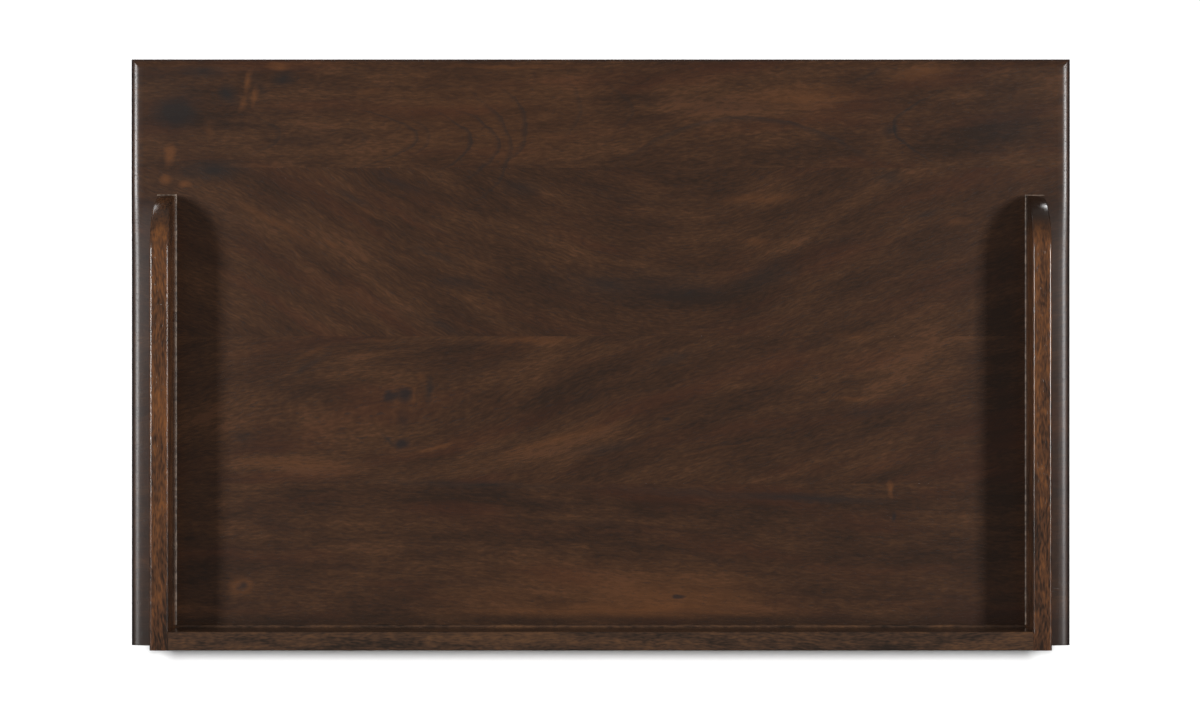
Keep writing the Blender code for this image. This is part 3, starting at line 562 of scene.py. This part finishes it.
def makeTopWood():
    material, tree, shader, place = newMaterial("stainedTop")
    spec = topWood
    # turned as the photograph shows it: X to its right, Y down
    turned = addNode(tree, "ShaderNodeMapping", {"Vector": place, "Scale": (-1, 1, 1)}).outputs[0]
    straight = split(tree, turned)
    flat = join(tree, straight["X"], straight["Y"], 0.0)
    drift = wander(tree, turned, spec["driftScale"], spec["driftDetail"], spec["drift"])
    wandering = vectorCalc(tree, "ADD", flat, drift)
    fibres, board, tone = topFibres(tree, straight, flat, wandering)
    seed = calc(tree, "MULTIPLY", board, spec["boardSeed"])
    lines = useGroup(tree, grainGroup, vector=fibres, seed=seed)
    facing = split(tree, tree.nodes["Texture Coordinate"].outputs["Normal"])["X"]
    ends = fade(tree, calc(tree, "ABSOLUTE", facing), *spec["endFade"])
    colour = topColour(tree, wandering, drift, fibres, lines, tone)
    colour = topStainAndShade(tree, colour, straight, ends)
    roughness = topRoughness(tree, straight, lines, ends)
    fibre = calc(tree, "MULTIPLY", lines["Fibre"], spec["fibreHeight"])
    height = calc(tree, "SUBTRACT", fibre, lines["Pores"])
    setShader(tree, shader, colour, roughness, height, spec["bump"])
    return material


# solid wood of the other pieces, each with its grain along one axis
# heart is the line the growth rings run round: a fold and the place either side of it, across and in depth
# nose is the share of painted shade on the front ends, at +X and -X
railLook = dict(contrast=1.35, rough=0.18)
caseTones = dict(
    dark=seen(38, 29, 24), middle=seen(65, 45, 33), light=seen(94, 61, 38), rough=0.3, contrast=1.05
)
drawerTones = dict(
    dark=seen(146, 112, 76), middle=seen(180, 146, 106), light=seen(204, 173, 133), rough=0.5, contrast=1.0
)
woods = {
    "sideRailWood": dict(
        axis="Y", dark=seen(44, 32, 25), middle=seen(86, 56, 37), light=seen(122, 77, 43), nose=(0.3, 1.0),
        **railLook
    ),
    "backRailWood": dict(
        axis="X", dark=seen(42, 33, 27), middle=seen(69, 50, 38), light=seen(94, 66, 45), **railLook
    ),
    "caseWoodAlong": dict(axis="X", heart=(0.005, 0.255, 0.39, 0.1), **caseTones),
    "caseWoodUp": dict(axis="Z", heart=(0.03, 0.0, 0.0, 0.37), **caseTones),
    "knobWood": dict(axis="Z", heart=(-0.16, 0.0, 0.0, 0.14), **{**caseTones, "rough": 0.2}),
    "drawerWoodAlong": dict(axis="X", heart=(-0.6, 0.0, -0.3, 0.0), **drawerTones),
    "drawerWoodDeep": dict(axis="Y", heart=(0.0, -0.5, -0.3, 0.0), **drawerTones),
}
woodLook = {
    "drift": (0.0, 0.02, 0.02),
    "driftScale": 9.0,
    "driftDetail": 2.0,
    "seed": 3.1,
    "mottle": 22.0,
    "mottleDetail": (4.0, 0.6),
    "start": 0.45,
    "layers": (1.4, 1.1, 0.6),  # shares of the streaks, the fibres and the mottle
    "stops": (0.0, 0.45, 1.0),
    "lineShare": 0.4,
    "endFade": (0.25, 0.5),
    "shadeShare": 0.6,
    "fibreRough": 0.06,
    "fibreHeight": 0.4,
    "bump": 0.00002,
}
# wood with a heart is sawn from one trunk, with a longer and straighter grain
sawn = {
    "lean": 0.05,  # how far the heart leans for each metre along the grain
    "along": 0.4,  # lengths along the grain count this much, so its streaks are longer
    "rest": 0.08,
    "drift": (0.0, 0.007, 0.007),
    "driftStretch": (0.3, 1.0, 1.0),
    "patches": (0.6, 1.5, 1.5),
}
grainTurns = {"X": (0, 0, 0), "Y": (0, 0, -math.pi / 2), "Z": (0, math.pi / 2, 0)}


def roundHeart(tree, vector, acrossFold, acrossOff, depthFold, depthOff):
    # across becomes the distance from the heart, so the streaks arch as on a sawn board
    along, across, depth = split(tree, vector)
    lean = calc(tree, "MULTIPLY", along, sawn["lean"])
    aside = calc(tree, "ABSOLUTE", calc(tree, "SUBTRACT", across, acrossFold))
    aside = calc(tree, "SUBTRACT", calc(tree, "SUBTRACT", aside, acrossOff), lean)
    deep = calc(tree, "ABSOLUTE", calc(tree, "SUBTRACT", depth, depthFold))
    deep = calc(tree, "ADD", calc(tree, "SUBTRACT", deep, depthOff), lean)
    ring = calc(tree, "SQRT", calc(tree, "MULTIPLY_ADD", aside, aside, calc(tree, "MULTIPLY", deep, deep)))
    rest = calc(tree, "MULTIPLY", calc(tree, "ADD", depth, across), sawn["rest"])
    return join(tree, calc(tree, "MULTIPLY", along, sawn["along"]), ring, rest)


def makeWood(name, axis, dark, middle, light, rough, contrast, heart=None, nose=None):
    material, tree, shader, place = newMaterial(name)
    spec = woodLook
    turned = addNode(tree, "ShaderNodeMapping", {"Vector": place, "Rotation": grainTurns[axis]}).outputs[0]
    stretched = vectorCalc(tree, "MULTIPLY", turned, sawn["driftStretch"]) if heart else turned
    reach = sawn["drift"] if heart else spec["drift"]
    drift = wander(tree, stretched, spec["driftScale"], spec["driftDetail"], reach)
    bent = vectorCalc(tree, "ADD", turned, drift)
    patches = turned
    if heart:
        bent = roundHeart(tree, bent, *heart)
        patches = vectorCalc(tree, "MULTIPLY", bent, sawn["patches"])
    lines = useGroup(tree, grainGroup, vector=bent, seed=spec["seed"])
    mottle = cloud(tree, patches, spec["mottle"], *spec["mottleDetail"])
    layers = (lines["Streak"], lines["Fibre"], mottle)
    shares = (share * contrast for share in spec["layers"])
    value = addLayers(tree, spec["start"], zip(layers, shares))
    if nose:
        # the side rails are lighter towards the front
        x, y = split(tree, place)[:2]
        backward = fade(tree, y, *(onTop(0, row)[1] for row in galleryShape["toneFade"]))
        value = calc(tree, "ADD", value, between(tree, backward, *galleryShape["tone"]))
    colour = ramp(tree, value, list(zip(spec["stops"], (dark, middle, light))))
    shade = calc(tree, "MAXIMUM", lines["Pores"], calc(tree, "MULTIPLY", lines["Lines"], spec["lineShare"]))
    # end grain drinks more stain
    facing = split(tree, tree.nodes["Texture Coordinate"].outputs["Normal"])
    ends = fade(tree, calc(tree, "ABSOLUTE", facing[axis]), *spec["endFade"])
    shade = calc(tree, "MULTIPLY", calc(tree, "MAXIMUM", shade, ends), spec["shadeShare"])
    if nose:
        # the noses are darkened further: painted shade, more at -X
        noseShade = fade(tree, y, *(galleryShape["front"] + far for far in galleryShape["noseShadeReach"]))
        noseShade = calc(tree, "SUBTRACT", 1.0, noseShade)
        left = calc(tree, "GREATER_THAN", x, 0.0)
        share = between(tree, left, nose[1], nose[0])
        shade = calc(tree, "MAXIMUM", shade, calc(tree, "MULTIPLY", noseShade, share))
    colour = blend(tree, shade, colour, dark)
    roughness = calc(tree, "MULTIPLY_ADD", lines["Fibre"], spec["fibreRough"], rough)
    if nose:
        # the outer sides were never rubbed smooth
        outward = calc(tree, "MULTIPLY", facing["X"], calc(tree, "SIGN", x))
        outer = fade(tree, outward, *galleryShape["outerFade"])
        roughness = between(tree, outer, roughness, galleryShape["outerRough"])
    fibre = calc(tree, "MULTIPLY", lines["Fibre"], spec["fibreHeight"])
    height = calc(tree, "SUBTRACT", fibre, lines["Pores"])
    setShader(tree, shader, colour, roughness, height, spec["bump"])
    return material


finishLook = {
    "scale": 300.0,
    "detail": 3.0,
    "fade": (0.35, 0.7),
    "thin": seen(70, 56, 47),
    "thick": seen(150, 130, 114),
    "rough": (0.3, 0.3),
    "bump": 0.0001,
}


def makeFinish(name):
    material, tree, shader, place = newMaterial(name)
    spec = finishLook
    cloudy = cloud(tree, place, spec["scale"], spec["detail"])
    colour = blend(tree, fade(tree, cloudy, *spec["fade"]), spec["thin"], spec["thick"])
    roughness = calc(tree, "MULTIPLY_ADD", cloudy, *spec["rough"])
    setShader(tree, shader, colour, roughness, cloudy, spec["bump"])
    return material


steels = {
    "screwSteel": dict(tint=seen(150, 150, 148), worn=seen(96, 90, 84)),
    "glideSteel": dict(tint=seen(170, 170, 168), worn=seen(120, 116, 110)),
}
steelLook = {
    "rub": (900.0, 900.0, 300.0),
    "rubDetail": 2.0,
    "spots": 220.0,
    "spotsDetail": 3.0,
    "spotsFade": (0.5, 0.7),
    "rough": (0.25, 0.28),
    "bump": 0.00003,
}


def makeSteel(name, tint, worn):
    material, tree, shader, place = newMaterial(name)
    spec = steelLook
    rub = cloud(tree, vectorCalc(tree, "MULTIPLY", place, spec["rub"]), 1.0, spec["rubDetail"])
    spots = cloud(tree, place, spec["spots"], spec["spotsDetail"])
    colour = blend(tree, fade(tree, spots, *spec["spotsFade"]), tint, worn)
    roughness = calc(tree, "MULTIPLY_ADD", rub, *spec["rough"])
    shader.inputs["Metallic"].default_value = 1.0
    setShader(tree, shader, colour, roughness, rub, spec["bump"])
    return material


# the gallery: two side rails with quarter-round noses and a back rail between them
galleryShape = {
    "front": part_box("gallery_left_rail")[0].y,
    "outer": max(abs(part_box("gallery_left_rail")[0].x), abs(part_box("gallery_left_rail")[1].x)),
    "nose": 0.040,
    "noseSteps": 28,
    "round": 0.0014,
    "roundSteps": 4,
    "strips": 24,
    "slices": 10,
    "rubbed": 0.0017,  # how deep the outer front corner is rubbed away
    "rubbedReach": 0.009,
    "outerRough": 0.8,
    "outerFade": (0.9, 0.99),
    # where the painted shade on the noses fades out, behind their fronts
    "noseShadeReach": (0.014, 0.038),
    "tone": (0.12, -0.1),  # before and behind these two rows of the photograph
    "toneFade": (390, 490),
}
topShape = {
    "round": 0.0065,
    "roundDrop": 0.0036,
    "roundSteps": 8,
    "underRound": 0.003,
    "underSteps": 3,
    "corner": 0.0012,
    "cornerSteps": 2,
    "strips": (40, 26),
    "crownWidth": 0.0185,
    "crownDrop": 0.0012,
    "crownStrips": 6,
}
# the finish that gathered along the foot of the gallery
beadShape = {
    "left": 0.0006,
    "right": 0.0009,
    "back": 0.0018,
    "round": 0.95,  # as a share of its size
    "roundSteps": 4,
    "step": 0.004,
    "uneven": 0.3,
    "swells": (90, 50),  # along and across
}
near = 0.00001  # places this close count as one
weld = 0.000001  # vertices this close are joined
sharpFrom = math.radians(40)

materials = {name: makeWood(name, **spec) for name, spec in woods.items()}
materials["stainedTop"] = makeTopWood()
materials["gatheredFinish"] = makeFinish("gatheredFinish")
for name, spec in steels.items():
    materials[name] = makeSteel(name, **spec)
print("materials made:", len(materials))


def newPiece(name, bm, material, body, slot, *stands):
    mesh = bpy.data.meshes.new(name)
    bm.to_mesh(mesh)
    bm.free()
    mesh.shade_smooth()
    mesh.set_sharp_from_angle(angle=sharpFrom)
    mesh.materials.append(materials[material])
    piece = bpy.data.objects.new(name, mesh)
    bpy.context.scene.collection.objects.link(piece)
    even = piece.modifiers.new("evenShading", "WEIGHTED_NORMAL")
    even.keep_sharp = True
    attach(piece, body)
    if stands:
        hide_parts(*stands)


def blockOf(low, high):
    bm = bmesh.new()
    bmesh.ops.create_cube(bm, size=1.0)
    bmesh.ops.scale(bm, vec=high - low, verts=bm.verts)
    bmesh.ops.translate(bm, vec=(low + high) / 2, verts=bm.verts)
    return bm


def roundEdges(bm, wanted, radius, steps, limited=False):
    edges = [edge for edge in bm.edges if wanted(*(vert.co for vert in edge.verts))]
    bmesh.ops.bevel(
        bm, geom=edges, offset=radius, offset_type="OFFSET", segments=steps, profile=0.5, affect="EDGES",
        clamp_overlap=limited, material=-1,
    )


def sliceAlong(bm, axis, start, end, count):
    normal = Vector((axis == 0, axis == 1, axis == 2))
    for step in range(1, count):
        spot = normal * (start + (end - start) * step / count)
        geom = bm.verts[:] + bm.edges[:] + bm.faces[:]
        bmesh.ops.bisect_plane(bm, geom=geom, plane_co=spot, plane_no=normal)


def makeTopPanel():
    low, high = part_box("top_panel")
    bm = blockOf(low, high)
    # the round-over is wider than it is deep: round it on a taller board, then press the board back
    squash = topShape["roundDrop"] / topShape["round"]
    fromTop = Matrix.Translation((0, 0, -high.z))
    bmesh.ops.scale(bm, vec=(1, 1, 1 / squash), space=fromTop, verts=bm.verts)
    roundEdges(
        bm,
        lambda a, b: min(a.z, b.z) > high.z - near and min(a.y, b.y) < high.y - near,
        topShape["round"],
        topShape["roundSteps"],
    )
    bmesh.ops.scale(bm, vec=(1, 1, squash), space=fromTop, verts=bm.verts)
    roundEdges(
        bm,
        lambda a, b: max(a.z, b.z) < low.z + near and min(a.y, b.y) < high.y - near,
        topShape["underRound"],
        topShape["underSteps"],
    )
    # the two front corners keep their mitre, only eased
    def onMitre(spot):
        return abs((high.x - abs(spot.x)) - (spot.y - low.y)) < near

    roundEdges(
        bm,
        lambda a, b: onMitre(a) and onMitre(b) and max(a.y, b.y) < low.y + topShape["round"] + near,
        topShape["corner"],
        topShape["cornerSteps"],
        limited=True,
    )
    sliceAlong(bm, 0, low.x, high.x, topShape["strips"][0])
    sliceAlong(bm, 1, low.y, high.y, topShape["strips"][1])
    # beside the rails the board falls away a little to its edges
    inner = high.x - topShape["crownWidth"]
    for side in (-1, 1):
        sliceAlong(bm, 0, side * inner, side * (high.x - topShape["round"]), topShape["crownStrips"])
    for vert in bm.verts:
        over = max(0.0, (abs(vert.co.x) - inner) / topShape["crownWidth"])
        behind = min(1.0, max(0.0, (vert.co.y - galleryShape["front"]) / galleryShape["nose"]))
        if vert.co.z > (low.z + high.z) / 2:
            vert.co.z -= topShape["crownDrop"] * behind * over ** 2
    newPiece("topPanel", bm, "stainedTop", "carcass", "stained_top", "top_panel")


def makeSideRail(hand):
    name = f"gallery_{hand}_rail"
    low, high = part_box(name)
    nose = galleryShape["nose"]
    tall = high.z - low.z
    bm = bmesh.new()
    first = bm.verts.new((low.x, low.y, low.z))
    middle = Vector((low.x, low.y + tall, low.z))
    swept = bmesh.ops.spin(
        bm, geom=[first], cent=middle, axis=(-1, 0, 0), angle=math.pi / 2, steps=galleryShape["noseSteps"]
    )
    bmesh.ops.scale(bm, vec=(1, nose / tall, 1), space=Matrix.Translation((0, -low.y, 0)), verts=bm.verts)
    last = [item for item in swept["geom_last"] if isinstance(item, bmesh.types.BMVert)][0]
    last.co.z = high.z
    crest = bm.verts.new((low.x, high.y, high.z))
    foot = bm.verts.new((low.x, high.y, low.z))
    for pair in ((last, crest), (crest, foot), (foot, first)):
        bm.edges.new(pair)
    face = bmesh.ops.contextual_create(bm, geom=bm.edges[:])["faces"]
    grown = bmesh.ops.extrude_face_region(bm, geom=face)
    moved = [item for item in grown["geom"] if isinstance(item, bmesh.types.BMVert)]
    bmesh.ops.translate(bm, vec=(high.x - low.x, 0, 0), verts=moved)
    bmesh.ops.recalc_face_normals(bm, faces=bm.faces[:])
    # the inner edge stays square where the back rail meets it
    inner, outer = sorted((low.x, high.x), key=abs)
    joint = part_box("gallery_back_rail")[0].y
    sliceAlong(bm, 1, 2 * joint - high.y, high.y, 2)
    roundEdges(
        bm,
        lambda a, b: abs(a.x - b.x) < near
        and max(a.z, b.z) > low.z + near
        and min(a.y, b.y) < (joint if abs(a.x - inner) < near else high.y) - near,
        galleryShape["round"],
        galleryShape["roundSteps"],
    )
    sliceAlong(bm, 0, low.x, high.x, galleryShape["slices"])
    sliceAlong(bm, 1, low.y + nose, high.y, galleryShape["strips"])
    # the outer front corner is rubbed soft: drawn in towards the middle of the nose's curve
    reach = galleryShape["rubbedReach"]
    for vert in bm.verts:
        share = max(0.0, 1 - abs(outer - vert.co.x) / reach) ** 2
        share *= max(0.0, 1 - (vert.co.y - low.y) / nose)
        inward = Vector((0, low.y + nose - vert.co.y, low.z - vert.co.z))
        if inward.length > near:
            vert.co += inward.normalized() * galleryShape["rubbed"] * share
    newPiece(f"{hand}GalleryRail", bm, "sideRailWood", "carcass", "stained_top", name)


def betweenRails():
    # from the inner face of one side rail to that of the other
    faces = sorted(corner.x for hand in ("left", "right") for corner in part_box(f"gallery_{hand}_rail"))
    return faces[1], faces[2]


def makeBackRail():
    low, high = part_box("gallery_back_rail")
    low.x, high.x = betweenRails()
    bm = blockOf(low, high)
    roundEdges(
        bm,
        lambda a, b: a.z > high.z - near and b.z > high.z - near and abs(a.x - b.x) > near,
        galleryShape["round"],
        galleryShape["roundSteps"],
    )
    sliceAlong(bm, 0, low.x, high.x, galleryShape["strips"])
    newPiece("backGalleryRail", bm, "backRailWood", "carcass", "stained_top", "gallery_back_rail")


def makeBead(name, low, high, along, corner, material="gatheredFinish"):
    # a quarter-round strip along X (0) or Y (1), with its square edge at the corner it fills
    across = 1 - along
    bm = blockOf(low, high)
    size = high.z - low.z
    roundEdges(
        bm,
        lambda a, b: min(a.z, b.z) > high.z - near
        and min(abs(a[across] - corner), abs(b[across] - corner)) > near,
        size * beadShape["round"],
        beadShape["roundSteps"],
    )
    sliceAlong(bm, along, low[along], high[along], round((high[along] - low[along]) / beadShape["step"]))
    often, apart = beadShape["swells"]
    for vert in bm.verts:
        swell = noise.noise(Vector((vert.co[along] * often, low[across] * apart, 0)))
        swell = 1 + beadShape["uneven"] * swell
        vert.co[across] = corner + (vert.co[across] - corner) * swell
        vert.co.z = low.z + (vert.co.z - low.z) * swell
    newPiece(name, bm, material, "carcass", "stained_top")


def makeBeads():
    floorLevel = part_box("top_panel")[1].z
    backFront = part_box("gallery_back_rail")[0].y
    for hand in ("left", "right"):
        low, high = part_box(f"gallery_{hand}_rail")
        size = beadShape[hand]
        inner = min(low.x, high.x, key=abs)
        rim = inner - math.copysign(size, inner)
        makeBead(
            f"{hand}InnerBead",
            Vector((min(inner, rim), low.y - size, floorLevel)),
            Vector((max(inner, rim), backFront, floorLevel + size)),
            1,
            inner,
        )
        makeBead(
            f"{hand}NoseBead",
            Vector((low.x, low.y - size, floorLevel)),
            Vector((high.x, low.y, floorLevel + size)),
            0,
            low.y,
        )
    size = beadShape["back"]
    start, end = betweenRails()
    makeBead(
        "backBead",
        Vector((start, backFront - size, floorLevel)),
        Vector((end, backFront, floorLevel + size)),
        0,
        backFront,
        "backRailWood",
    )


# turned pieces: half sections swept round
knobShape = {
    "foot": 0.009,
    "footThick": 0.0028,
    "neck": 0.0062,
    "headHalf": 0.007,
    "headSteps": 28,
    "ease": 0.0011,
    "easeSteps": 4,
    "turns": 64,
}


def sweepSection(bm, middle, axis, steps):
    bmesh.ops.remove_doubles(bm, verts=bm.verts, dist=weld)
    section = bm.verts[:] + bm.edges[:]
    bmesh.ops.spin(
        bm, geom=section, cent=middle, axis=axis, angle=2 * math.pi, steps=steps, use_merge=True
    )
    bmesh.ops.remove_doubles(bm, verts=bm.verts, dist=weld)
    bmesh.ops.recalc_face_normals(bm, faces=bm.faces)


def linkUp(bm, spots, first=None):
    verts = [bm.verts.new(spot) for spot in spots]
    chain = ([first] if first else []) + verts
    for pair in zip(chain, chain[1:]):
        bm.edges.new(pair)
    return verts


def easeCorners(bm, verts, radius, steps):
    bmesh.ops.bevel(
        bm, geom=verts, offset=radius, offset_type="OFFSET", segments=steps, profile=0.5, affect="VERTICES",
        material=-1,
    )


def makeKnob(drawer, hand):
    name = f"{drawer}_drawer_{hand}_knob"
    low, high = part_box(name)
    spec = knobShape
    radius = (high.x - low.x) / 2
    middle = (low + high) / 2
    head = Vector((middle.x, low.y + spec["headHalf"], middle.z))
    bm = bmesh.new()
    # the head is half an oval from its front pole to the neck
    front = bm.verts.new(head - Vector((0, radius, 0)))
    bmesh.ops.spin(bm, geom=[front], cent=head, axis=(0, 0, 1), angle=math.pi, steps=spec["headSteps"])
    flatten = spec["headHalf"] / radius
    bmesh.ops.scale(bm, vec=(1, flatten, 1), space=Matrix.Translation(-head), verts=bm.verts)
    behind = [v for v in bm.verts if v.co.y > head.y and v.co.x - middle.x < spec["neck"]]
    bmesh.ops.delete(bm, geom=behind, context="VERTS")
    last = max(bm.verts, key=lambda v: v.co.y)
    wall = high.y
    spots = [
        (middle.x + spec["neck"], last.co.y + spec["ease"], middle.z),
        (middle.x + spec["neck"], wall - spec["footThick"], middle.z),
        (middle.x + spec["foot"], wall - spec["footThick"] / 2, middle.z),
        (middle.x + spec["foot"], wall, middle.z),
    ]
    made = linkUp(bm, spots, last)
    linkUp(bm, [(middle.x, wall, middle.z)], made[-1])
    easeCorners(bm, made[:3], spec["ease"], spec["easeSteps"])
    sweepSection(bm, middle, (0, 1, 0), spec["turns"])
    newPiece(f"{drawer}{hand.capitalize()}Knob", bm, "knobWood", f"{drawer}_drawer", "stained_case", name)


glideShape = {
    "rim": 0.0085,
    "dome": 0.0006,
    "height": 0.004,
    "ease": 0.0012,
    "easeSteps": 3,
    "turns": 48,
}


def makeGlide(row, hand):
    name = f"{row}_{hand}_glide"
    low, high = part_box(name)
    spec = glideShape
    middle = (low + high) / 2
    radius = (high.x - low.x) / 2
    top = low.z + spec["height"]
    bm = bmesh.new()
    # halfway out to its rim the dome has risen by a quarter
    spots = [
        (middle.x, middle.y, low.z),
        (middle.x + spec["rim"] / 2, middle.y, low.z + spec["dome"] / 4),
        (middle.x + spec["rim"], middle.y, low.z + spec["dome"]),
        (middle.x + radius, middle.y, low.z + spec["dome"] + spec["ease"]),
        (middle.x + radius, middle.y, top),
        (middle.x, middle.y, top),
    ]
    made = linkUp(bm, spots)
    easeCorners(bm, made[2:4], spec["ease"] / 2, spec["easeSteps"])
    sweepSection(bm, middle, (0, 0, 1), spec["turns"])
    newPiece(f"{row}{hand.capitalize()}Glide", bm, "glideSteel", "carcass", "glide_steel", name)


makeTopPanel()
for hand in ("left", "right"):
    makeSideRail(hand)
makeBackRail()
makeBeads()
print("top and gallery built")
for hand in ("left", "right"):
    for drawer in ("upper", "lower"):
        makeKnob(drawer, hand)
    for row in ("front", "back"):
        makeGlide(row, hand)
print("knobs and glides turned")

# finishes of the CAD nodes that stay, by the first part of a name that fits
finishes = {
    "glideSteel": ("_glide",),
    "screwSteel": ("_screw",),
    "caseWoodUp": ("_leg", "_side_panel"),
    "drawerWoodDeep": ("_runner", "_kicker", "_drawer_left_side", "_drawer_right_side"),
    "drawerWoodAlong": ("_drawer_back", "_drawer_bottom", "_dowel", "_stop_block", "_turn_button"),
}


def finishOf(name):
    for finish, parts in finishes.items():
        if any(part in name for part in parts):
            return finish
    return "caseWoodAlong"


for name, node in nodes.items():
    finish = finishOf(name)
    node.data.materials.clear()
    node.data.materials.append(materials[finish])
print("finishes set")

# camera and light
view = {
    "lens": 93.98,
    "sensor": 36.0,
    "eye": (0.0005, 0.0023, 2.84),
    "turn": math.pi,  # the front is at the photograph's upper edge
}
camera = bpy.data.cameras.new("overhead")
camera.lens = view["lens"]
camera.sensor_width = view["sensor"]
eye = bpy.data.objects.new("overhead", camera)
eye.location = view["eye"]
eye.rotation_euler = (0, 0, view["turn"])
bpy.context.scene.collection.objects.link(eye)
bpy.context.scene.camera = eye
bpy.context.scene.view_settings.view_transform = "Standard"

studio = {
    "softboxSide": 1.6,
    "softboxAhead": -0.15,
    "softboxHeights": (2.22, 2.14),  # at the photograph's right and left
    "softboxSize": (0.6, 0.32),
    "softboxPower": 30.0,
    "softboxAim": (0, 0, 0.64),
    "cards": (  # place, size and power
        ((0.97, -1.13, 0.23), 0.5, 3.2),
        ((-0.68, -0.9, 0.2), 0.36, 5.4),
    ),
    "cardAim": 0.66,
    "floorLampPlace": (0, -0.058, 3.28),
    "floorLampRadius": 0.028,
    "floorLampPower": 51.5,
    "bodyLamps": (  # x, y and power
        (-1.5, -1.9, 34.0),
        (1.7, -1.6, 22.0),
        (1.6, 1.7, 20.0),
        (-1.6, 1.7, 20.0),
    ),
    "bodyLampHeight": 1.15,
    "bodyLampSize": 1.3,
    "edgeLamps": (  # x, y and power
        (0, -2.2, 14.0),
        (0, 2.2, 14.0),
        (-2.2, 0, 12.0),
        (2.2, 0, 12.0),
    ),
    "edgeLampHeight": 0.3,
    "edgeLampSize": 0.6,
    "lampAim": (0, 0, 0.35),
    "floorSize": 9.0,
    "floorTones": (0.80, 0.84),
    "floorMottle": 3.0,
    "floorRough": 0.9,
    "sweepReach": (1.0, 3.2),
    "sweepGlow": 0.5,
    "horizon": 0.2,
    "zenith": 0.105,
    "skyFade": (0.0, 0.8),
    "groundFade": (-0.15, 0.0),
}
floorOnly = bpy.data.collections.new("floorOnly")
objectOnly = bpy.data.collections.new("objectOnly")
railsOnly = bpy.data.collections.new("railsOnly")
bodyOnly = bpy.data.collections.new("bodyOnly")
boardOnly = bpy.data.collections.new("boardOnly")


def grey(level):
    return (level, level, level, 1.0)


def makeFloor():
    bm = bmesh.new()
    bmesh.ops.create_grid(bm, x_segments=1, y_segments=1, size=studio["floorSize"])
    mesh = bpy.data.meshes.new("floor")
    bm.to_mesh(mesh)
    bm.free()
    material, tree, shader, place = newMaterial("paleFloor")
    shade = cloud(tree, place, studio["floorMottle"])
    darker, paler = (grey(level) for level in studio["floorTones"])
    feed(tree, shader.inputs["Base Color"], blend(tree, shade, darker, paler))
    shader.inputs["Roughness"].default_value = studio["floorRough"]
    # far off the floor is lit up to meet the white behind it
    x, y = split(tree, place)[:2]
    far = calc(tree, "SQRT", calc(tree, "MULTIPLY_ADD", x, x, calc(tree, "MULTIPLY", y, y)))
    glow = fade(tree, far, *studio["sweepReach"])
    feed(tree, shader.inputs["Emission Color"], blend(tree, glow, grey(0), grey(1)))
    shader.inputs["Emission Strength"].default_value = studio["sweepGlow"]
    mesh.materials.append(material)
    floor = bpy.data.objects.new("floor", mesh)
    bpy.context.scene.collection.objects.link(floor)
    floor.visible_glossy = False
    floorOnly.objects.link(floor)


def addLamp(name, kind, place, power, lit, aim=None):
    lamp = bpy.data.lights.new(name, kind)
    lamp.energy = power
    holder = bpy.data.objects.new(name, lamp)
    holder.location = place
    if aim:
        look = Vector(aim) - holder.location
        holder.rotation_euler = look.to_track_quat("-Z", "Y").to_euler()
    bpy.context.scene.collection.objects.link(holder)
    holder.light_linking.receiver_collection = lit
    holder.visible_camera = False
    return holder


def makeLights():
    for side, height in zip((-1, 1), studio["softboxHeights"]):
        place = (side * studio["softboxSide"], studio["softboxAhead"], height)
        power, aim = studio["softboxPower"], studio["softboxAim"]
        lamp = addLamp("softbox", "AREA", place, power, objectOnly, aim).data
        lamp.shape = "RECTANGLE"
        lamp.size, lamp.size_y = studio["softboxSize"]
    # two cards low in front put a shine on the noses of the rails
    for place, size, power in studio["cards"]:
        nose = math.copysign(galleryShape["outer"], place[0])
        aim = (nose, galleryShape["front"], studio["cardAim"])
        card = addLamp("frontCard", "AREA", place, power, railsOnly, aim)
        card.data.size = size
        card.visible_diffuse = False
    # wide lamps round the case, and low ones for the edges of the top board
    for kind, lit in (("body", bodyOnly), ("edge", boardOnly)):
        for x, y, power in studio[f"{kind}Lamps"]:
            place = (x, y, studio[f"{kind}LampHeight"])
            lamp = addLamp(f"{kind}Lamp", "AREA", place, power, lit, studio["lampAim"])
            lamp.data.size = studio[f"{kind}LampSize"]
            lamp.visible_glossy = kind == "body"
    # a small lamp high up throws the floor's shadow, as strong far off as near
    place, power = studio["floorLampPlace"], studio["floorLampPower"]
    lamp = addLamp("floorLamp", "POINT", place, power, floorOnly).data
    lamp.shadow_soft_size = studio["floorLampRadius"]
    lamp.use_nodes = True
    tree = lamp.node_tree
    even = addNode(tree, "ShaderNodeLightFalloff", {"Strength": 1.0}).outputs["Constant"]
    feed(tree, tree.nodes["Emission"].inputs["Strength"], even)


def makeWorld():
    world = bpy.data.worlds.new("studio")
    bpy.context.scene.world = world
    world.use_nodes = True
    tree = world.node_tree
    direction = tree.nodes.new("ShaderNodeTexCoord").outputs["Generated"]
    height = split(tree, direction)["Z"]
    low, high = grey(studio["horizon"]), grey(studio["zenith"])
    colour = blend(tree, fade(tree, height, *studio["skyFade"]), low, high)
    colour = blend(tree, fade(tree, height, *studio["groundFade"]), grey(0), colour)
    # the camera itself sees plain white behind the floor
    straight = tree.nodes.new("ShaderNodeLightPath").outputs["Is Camera Ray"]
    colour = blend(tree, straight, colour, grey(1))
    feed(tree, tree.nodes["Background"].inputs["Color"], colour)


makeFloor()
makeLights()
makeWorld()
topPieces = ("topPanel", "GalleryRail", "Bead")
for thing in bpy.context.scene.objects:
    if thing.type == "MESH" and thing.name != "floor":
        objectOnly.objects.link(thing)
        if not thing.name.endswith(topPieces):
            bodyOnly.objects.link(thing)
    if thing.name == "topPanel":
        boardOnly.objects.link(thing)
    if thing.name.endswith("GalleryRail"):
        railsOnly.objects.link(thing)
print("studio set")
